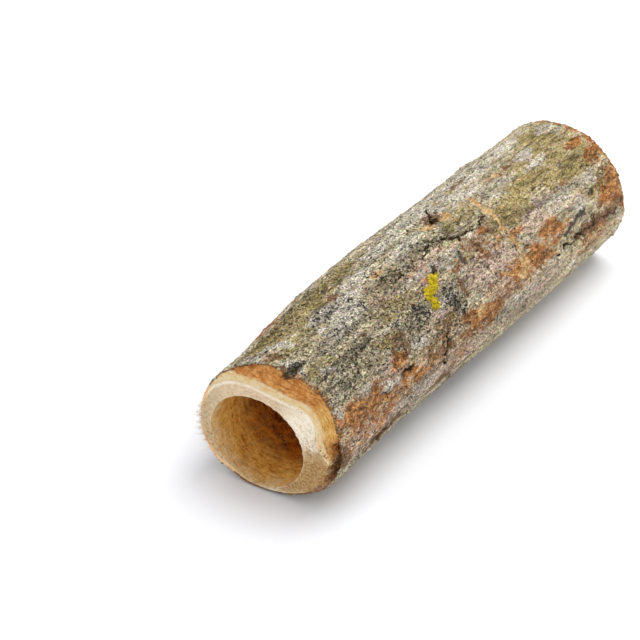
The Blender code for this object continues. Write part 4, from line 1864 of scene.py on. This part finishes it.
@dataclass(frozen=True)
class FloorFinish(Finish):
    """Plain pale studio floor."""

    name: str = "pale_floor"
    roughness: float = 0.9
    gloss: float = 0.1
    colour: Colour = (0.84, 0.852, 0.885, 1.0)

    def surface(self, sheet: FinishSheet) -> Look:
        """Flat colour of the floor."""
        return self.colour, None


Point = tuple[float, float, float]


def loft(shape: BMesh, rims: Sequence[Sequence[Point]]) -> None:
    """Close a skin over a stack of outlines that have as many points each.

    Args:
        shape: The bmesh to add to.
        rims: The outlines, from the lowest up.
    """
    rows = [[shape.verts.new(point) for point in rim] for rim in rims]
    for lower, upper in zip(rows, rows[1:]):
        for side in range(len(lower)):
            after = (side + 1) % len(lower)
            shape.faces.new((lower[side], lower[after], upper[after], upper[side]))
    shape.faces.new(rows[0])
    shape.faces.new(rows[-1])


def rim(reaches: Sequence[float], height: float, bow: float = 0.0) -> list[Point]:
    """Points around the Z axis at some reaches, at one height.

    Args:
        reaches: Distance of each point from the axis.
        height: Height of the outline.
        bow: Shift along X.

    Returns:
        The points in order.
    """
    turns = [math.tau * side / len(reaches) for side in range(len(reaches))]
    return [
        (bow + reach * math.cos(turn), reach * math.sin(turn), height)
        for reach, turn in zip(reaches, turns)
    ]


def small_shape(name: str, build: Callable[[BMesh], None]) -> Object:
    """A hidden prototype one unit in size, which no view shows.

    Args:
        name: Name of the prototype.
        build: Fills an empty bmesh with the shape.

    Returns:
        The prototype object.
    """
    shape = bmesh.new()
    build(shape)
    bmesh.ops.recalc_face_normals(shape, faces=shape.faces)
    mesh = bpy.data.meshes.new(name)
    shape.to_mesh(mesh)
    shape.free()
    mesh.shade_smooth()
    return bpy.data.objects.new(name, mesh)


def grain(shape: BMesh) -> None:
    """A low lump with an uneven outline, half sunk.

    Args:
        shape: The bmesh to add to.
    """
    bmesh.ops.create_icosphere(shape, subdivisions=1, radius=0.5)
    for number, vertex in enumerate(shape.verts):
        swell = 1 + 0.28 * math.sin(number * 2.4)
        vertex.co = Vector((vertex.co.x * swell, vertex.co.y * (2 - swell), vertex.co.z * 0.42 + 0.04))


def flake(shape: BMesh) -> None:
    """A thin chip with six uneven corners, lying a little proud of the surface.

    Args:
        shape: The bmesh to add to.
    """
    reaches = (0.5, 0.36, 0.47, 0.40, 0.52, 0.33)
    steps = ((-0.1, 1), (0.07, 1), (0.12, 0.62))
    loft(shape, [rim([share * reach for reach in reaches], height) for height, share in steps])


def crumb(shape: BMesh) -> None:
    """A tiny uneven eight-sided crumb.

    Args:
        shape: The bmesh to add to.
    """
    ends = (
        (0.5, 0.05, 0), (-0.44, 0, 0.03), (0, 0.38, 0), (0.04, -0.48, 0), (0.03, 0, 0.30), (0, 0, -0.30),
    )
    points = [shape.verts.new(end) for end in ends]
    for first, second in ((0, 2), (2, 1), (1, 3), (3, 0)):
        shape.faces.new((points[first], points[second], points[4]))
        shape.faces.new((points[second], points[first], points[5]))


def dome(shape: BMesh) -> None:
    """A small round cushion with a dip in the middle, like the fruit of a crust lichen."""
    steps = ((0.5, -0.12), (0.5, 0.18), (0.36, 0.26), (0.16, 0.19))
    loft(shape, [rim([reach] * 9, height) for reach, height in steps])


def lobe_cushion(shape: BMesh) -> None:
    """A leafy lobe: a scalloped cushion."""
    steps = ((0.34, -0.15), (0.5, 0.1), (0.44, 0.22), (0.2, 0.15))
    loft(shape, [rim([reach * 1.24, reach * 0.9] * 6, height) for reach, height in steps])


def strand(shape: BMesh, thick: float, bend: float, joints: int = 6) -> None:
    """A three-sided hair one unit long along Z, bowed and tapering to a point.

    Args:
        shape: The bmesh to add to.
        thick: Radius at the root.
        bend: How far the tip leans.
        joints: Number of its stretches.
    """
    rims = []
    for share in (joint / joints for joint in range(joints + 1)):
        height = share * (1 - 0.25 * abs(bend) * share)
        rims.append(rim([thick * (1 - 0.85 * share)] * 3, height, bend * share**2))
    loft(shape, rims)


def scale_plate(shape: BMesh) -> None:
    """A thin curled plate of cork, one unit long along Y, with a lifted edge.

    Args:
        shape: The bmesh to add to.
    """
    rows = []
    for v in np.linspace(-0.5, 0.5, 6):
        width = 0.55 * math.sqrt(max(1 - (1.7 * v) ** 2, 0.12)) * (1 + 0.2 * math.sin(5 * v))
        across = np.linspace(-0.5, 0.5, 5)
        top = [(u * width, v, 0.085 + 0.30 * max(u, 0) ** 2 + 0.10 * v * v) for u in across]
        rows.append(top + [(x, y, z - 0.07) for x, y, z in reversed(top)])
    loft(shape, rows)


@dataclass(frozen=True)
class Strewing:
    """Copies of one small shape over a painted area, as one piece."""

    name: str
    where: str
    per_square_millimetre: float
    smallest: float
    largest: float
    seed: int
    shape: Callable[[BMesh], None]
    finish: GrainFinish | None = None
    slot: str = "bark"
    upright: float = 1.0
    lengthwise: float = 0.0
    straying: float = 0.25
    spin: float = math.pi
    stretch: float = 1.0

    def build(self, surface: Mesh, tree: NodeTree, effects: Effects, bark: Material) -> Object:
        """Strew the copies.

        Args:
            surface: The finished body's mesh.
            tree: The strewing tree.
            effects: Shared shader effects.
            bark: The body's bark, which things with no finish of their own take on.

        Returns:
            The new piece.
        """
        prototype = small_shape(f"{self.name}_shape", self.shape)
        others = ("name", "shape", "finish", "slot")
        inputs = labelled({name: value for name, value in vars(self).items() if name not in others})
        inputs |= {"Shape": prototype, "Finish": self.finish.build(effects) if self.finish else bark}
        piece = grown(surface, tree, inputs, self.name)
        bpy.data.objects.remove(prototype)
        return piece


STREWINGS = (
    Strewing("bark_flakes", "skin", 0.23, 0.5, 1.3, 2, flake, straying=0.22, spin=0.5, stretch=1.9),
    Strewing("bark_grit", "skin", 0.6, 0.25, 0.55, 4, crumb, straying=0.5, spin=0.9, stretch=1.5),
    Strewing(
        "rough_flakes", Mask.SPECKLE.value, 1.0, 0.45, 1.0, 6, flake,
        straying=0.35, spin=0.8, stretch=1.5,
    ),
    Strewing("crust_grains", Mask.CRUST.value, 1.5, 0.4, 1.0, 3, grain),
    Strewing(
        "black_fruits", Mask.FRUIT.value, 2.2, 0.32, 0.75, 5, dome,
        GrainFinish("black_fruits", 0.6, colours=tones((24, 23, 22), (48, 45, 41)), spots=0.0),
    ),
    Strewing(
        "yellow_lobes", Mask.LICHEN.value, 3.6, 0.6, 1.3, 7, lobe_cushion,
        GrainFinish("yellow_lichen", colours=tones((220, 200, 36), (172, 148, 24), (104, 92, 22)), spots=0.5),
        straying=0.5,
    ),
    Strewing(
        "moss_tufts", Mask.MOSS.value, 5.0, 0.5, 1.1, 9, lambda shape: strand(shape, 0.16, 0.3, 3),
        GrainFinish("moss", colours=tones((46, 44, 26), (92, 88, 50), (30, 28, 20))),
        straying=0.9,
    ),
    Strewing(
        "torn_fibres", Mask.GOLD.value, 1.5, 1.0, 2.6, 13, lambda shape: strand(shape, 0.05, 0.2),
        GrainFinish("torn_fibres", colours=tones((240, 208, 152), (196, 138, 78), (150, 92, 40))),
        "sawn_wood", upright=0.12, lengthwise=1.0, straying=0.45,
    ),
    Strewing(
        "rim_fuzz", Mask.FUZZ.value, 9.0, 1.0, 3.4, 17, lambda shape: strand(shape, 0.038, 0.6),
        GrainFinish("rim_fuzz", colours=tones((255, 255, 250), (250, 240, 222)), spots=0.0),
        "sawn_wood", upright=0.3, lengthwise=-0.9, straying=0.8,
    ),
    Strewing("bark_scales", Mask.SCALE.value, 0.4, 1.0, 2.4, 19, scale_plate, straying=0.35),
    Strewing(
        "saw_dust", Mask.DUST.value, 3.2, 0.22, 0.7, 23, grain,
        GrainFinish("saw_dust", colours=tones((246, 218, 164), (166, 118, 62), (96, 62, 30))),
        "sawn_wood", straying=0.6,
    ),
    Strewing(
        "bore_splinters", Mask.SPLINTER.value, 1.3, 1.0, 3.6, 29,
        lambda shape: strand(shape, 0.022, 0.14),
        GrainFinish("bore_splinters", colours=tones((255, 226, 150), (206, 138, 52)), spots=0.0),
        "sawn_wood", upright=0.1, straying=1.0,
    ),
)


@dataclass(frozen=True)
class Softbox:
    """A large soft lamp aimed at the log."""

    name: str
    place: tuple[float, float, float]
    size: float
    power: float

    def build(self) -> None:
        """Hang the lamp."""
        lamp = bpy.data.lights.new(self.name, "AREA")
        lamp.shape = "DISK"
        lamp.size = self.size
        lamp.energy = self.power
        holder = bpy.data.objects.new(self.name, lamp)
        holder.location = self.place
        holder.rotation_euler = (-Vector(self.place)).to_track_quat("-Z", "Y").to_euler()
        bpy.context.scene.collection.objects.link(holder)


@dataclass(frozen=True)
class Studio:
    """Plain pale floor, soft light all round and the camera."""

    aim: tuple[float, float, float] = (-0.0353, -0.0031, 0.0)
    distance: float = 0.7588
    azimuth: float = 36.38
    elevation: float = 37.36
    lens: float = 140.6
    sensor: float = 36.0
    clip_start: float = 0.05
    clip_end: float = 20.0
    floor_radius: float = 4.0
    floor_sides: int = 64
    daylight: float = 0.86
    softboxes: tuple[Softbox, ...] = (Softbox("key_softbox", (0.34, 0.72, 2.1), 1.6, 33.0),)

    def build(self, effects: Effects) -> None:
        """Set up floor, light and camera.

        Args:
            effects: The shared effects.
        """
        self.floor(effects)
        self.world()
        for softbox in self.softboxes:
            softbox.build()
        self.camera()
        bpy.context.scene.view_settings.view_transform = "Standard"

    def floor(self, effects: Effects) -> None:
        """Lay the floor just under the log.

        Args:
            effects: The shared effects.
        """
        disc = bmesh.new()
        bmesh.ops.create_circle(disc, cap_ends=True, segments=self.floor_sides, radius=self.floor_radius)
        mesh = bpy.data.meshes.new("studio_floor")
        disc.to_mesh(mesh)
        disc.free()
        mesh.materials.append(FloorFinish().build(effects))
        floor = bpy.data.objects.new("studio_floor", mesh)
        bpy.context.scene.collection.objects.link(floor)

    def world(self) -> None:
        """Light the log evenly from the whole sky."""
        world = bpy.data.worlds.new("studio")
        world.use_nodes = True
        background = world.node_tree.nodes["Background"]
        background.inputs[0].default_value = (1.0, 1.0, 1.0, 1.0)
        background.inputs[1].default_value = self.daylight
        bpy.context.scene.world = world

    def camera(self) -> None:
        """Set the camera."""
        turn, rise = math.radians(self.azimuth), math.radians(self.elevation)
        back = Vector((math.sin(turn) * math.cos(rise), -math.cos(turn) * math.cos(rise), math.sin(rise)))
        camera = bpy.data.cameras.new("camera")
        camera.lens, camera.sensor_width = self.lens, self.sensor
        camera.clip_start, camera.clip_end = self.clip_start, self.clip_end
        holder = bpy.data.objects.new("camera", camera)
        holder.location = Vector(self.aim) + back * self.distance
        holder.rotation_euler = (-back).to_track_quat("-Z", "Y").to_euler()
        bpy.context.scene.collection.objects.link(holder)
        bpy.context.scene.camera = holder


def settle(piece: Object) -> None:
    """Fasten a finished piece to the log's body and report it.

    Args:
        piece: The finished object.
    """
    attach(piece, BODY)
    LOG.info("%s: %d points, %d faces", piece.name, len(piece.data.vertices), len(piece.data.polygons))


def main() -> None:
    """Build the log's looks and the studio."""
    logging.basicConfig(level=logging.INFO, format="%(message)s")
    effects = Effects()
    Studio().build(effects)
    finishes = {
        Zone.BARK: BarkFinish().build(effects),
        Zone.FACE: SawnFinish().build(effects),
        Zone.BORE: BoreFinish().build(effects),
    }
    relief = Relief()
    body = grown(LogBody().mesh(), relief.tree(), relief.inputs(finishes), "log_body")
    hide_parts(NODE)
    settle(body)
    strewing = strewing_tree()
    for one in STREWINGS:
        settle(one.build(body.data, strewing, effects, finishes[Zone.BARK]))


if __name__ == "__main__":
    main()
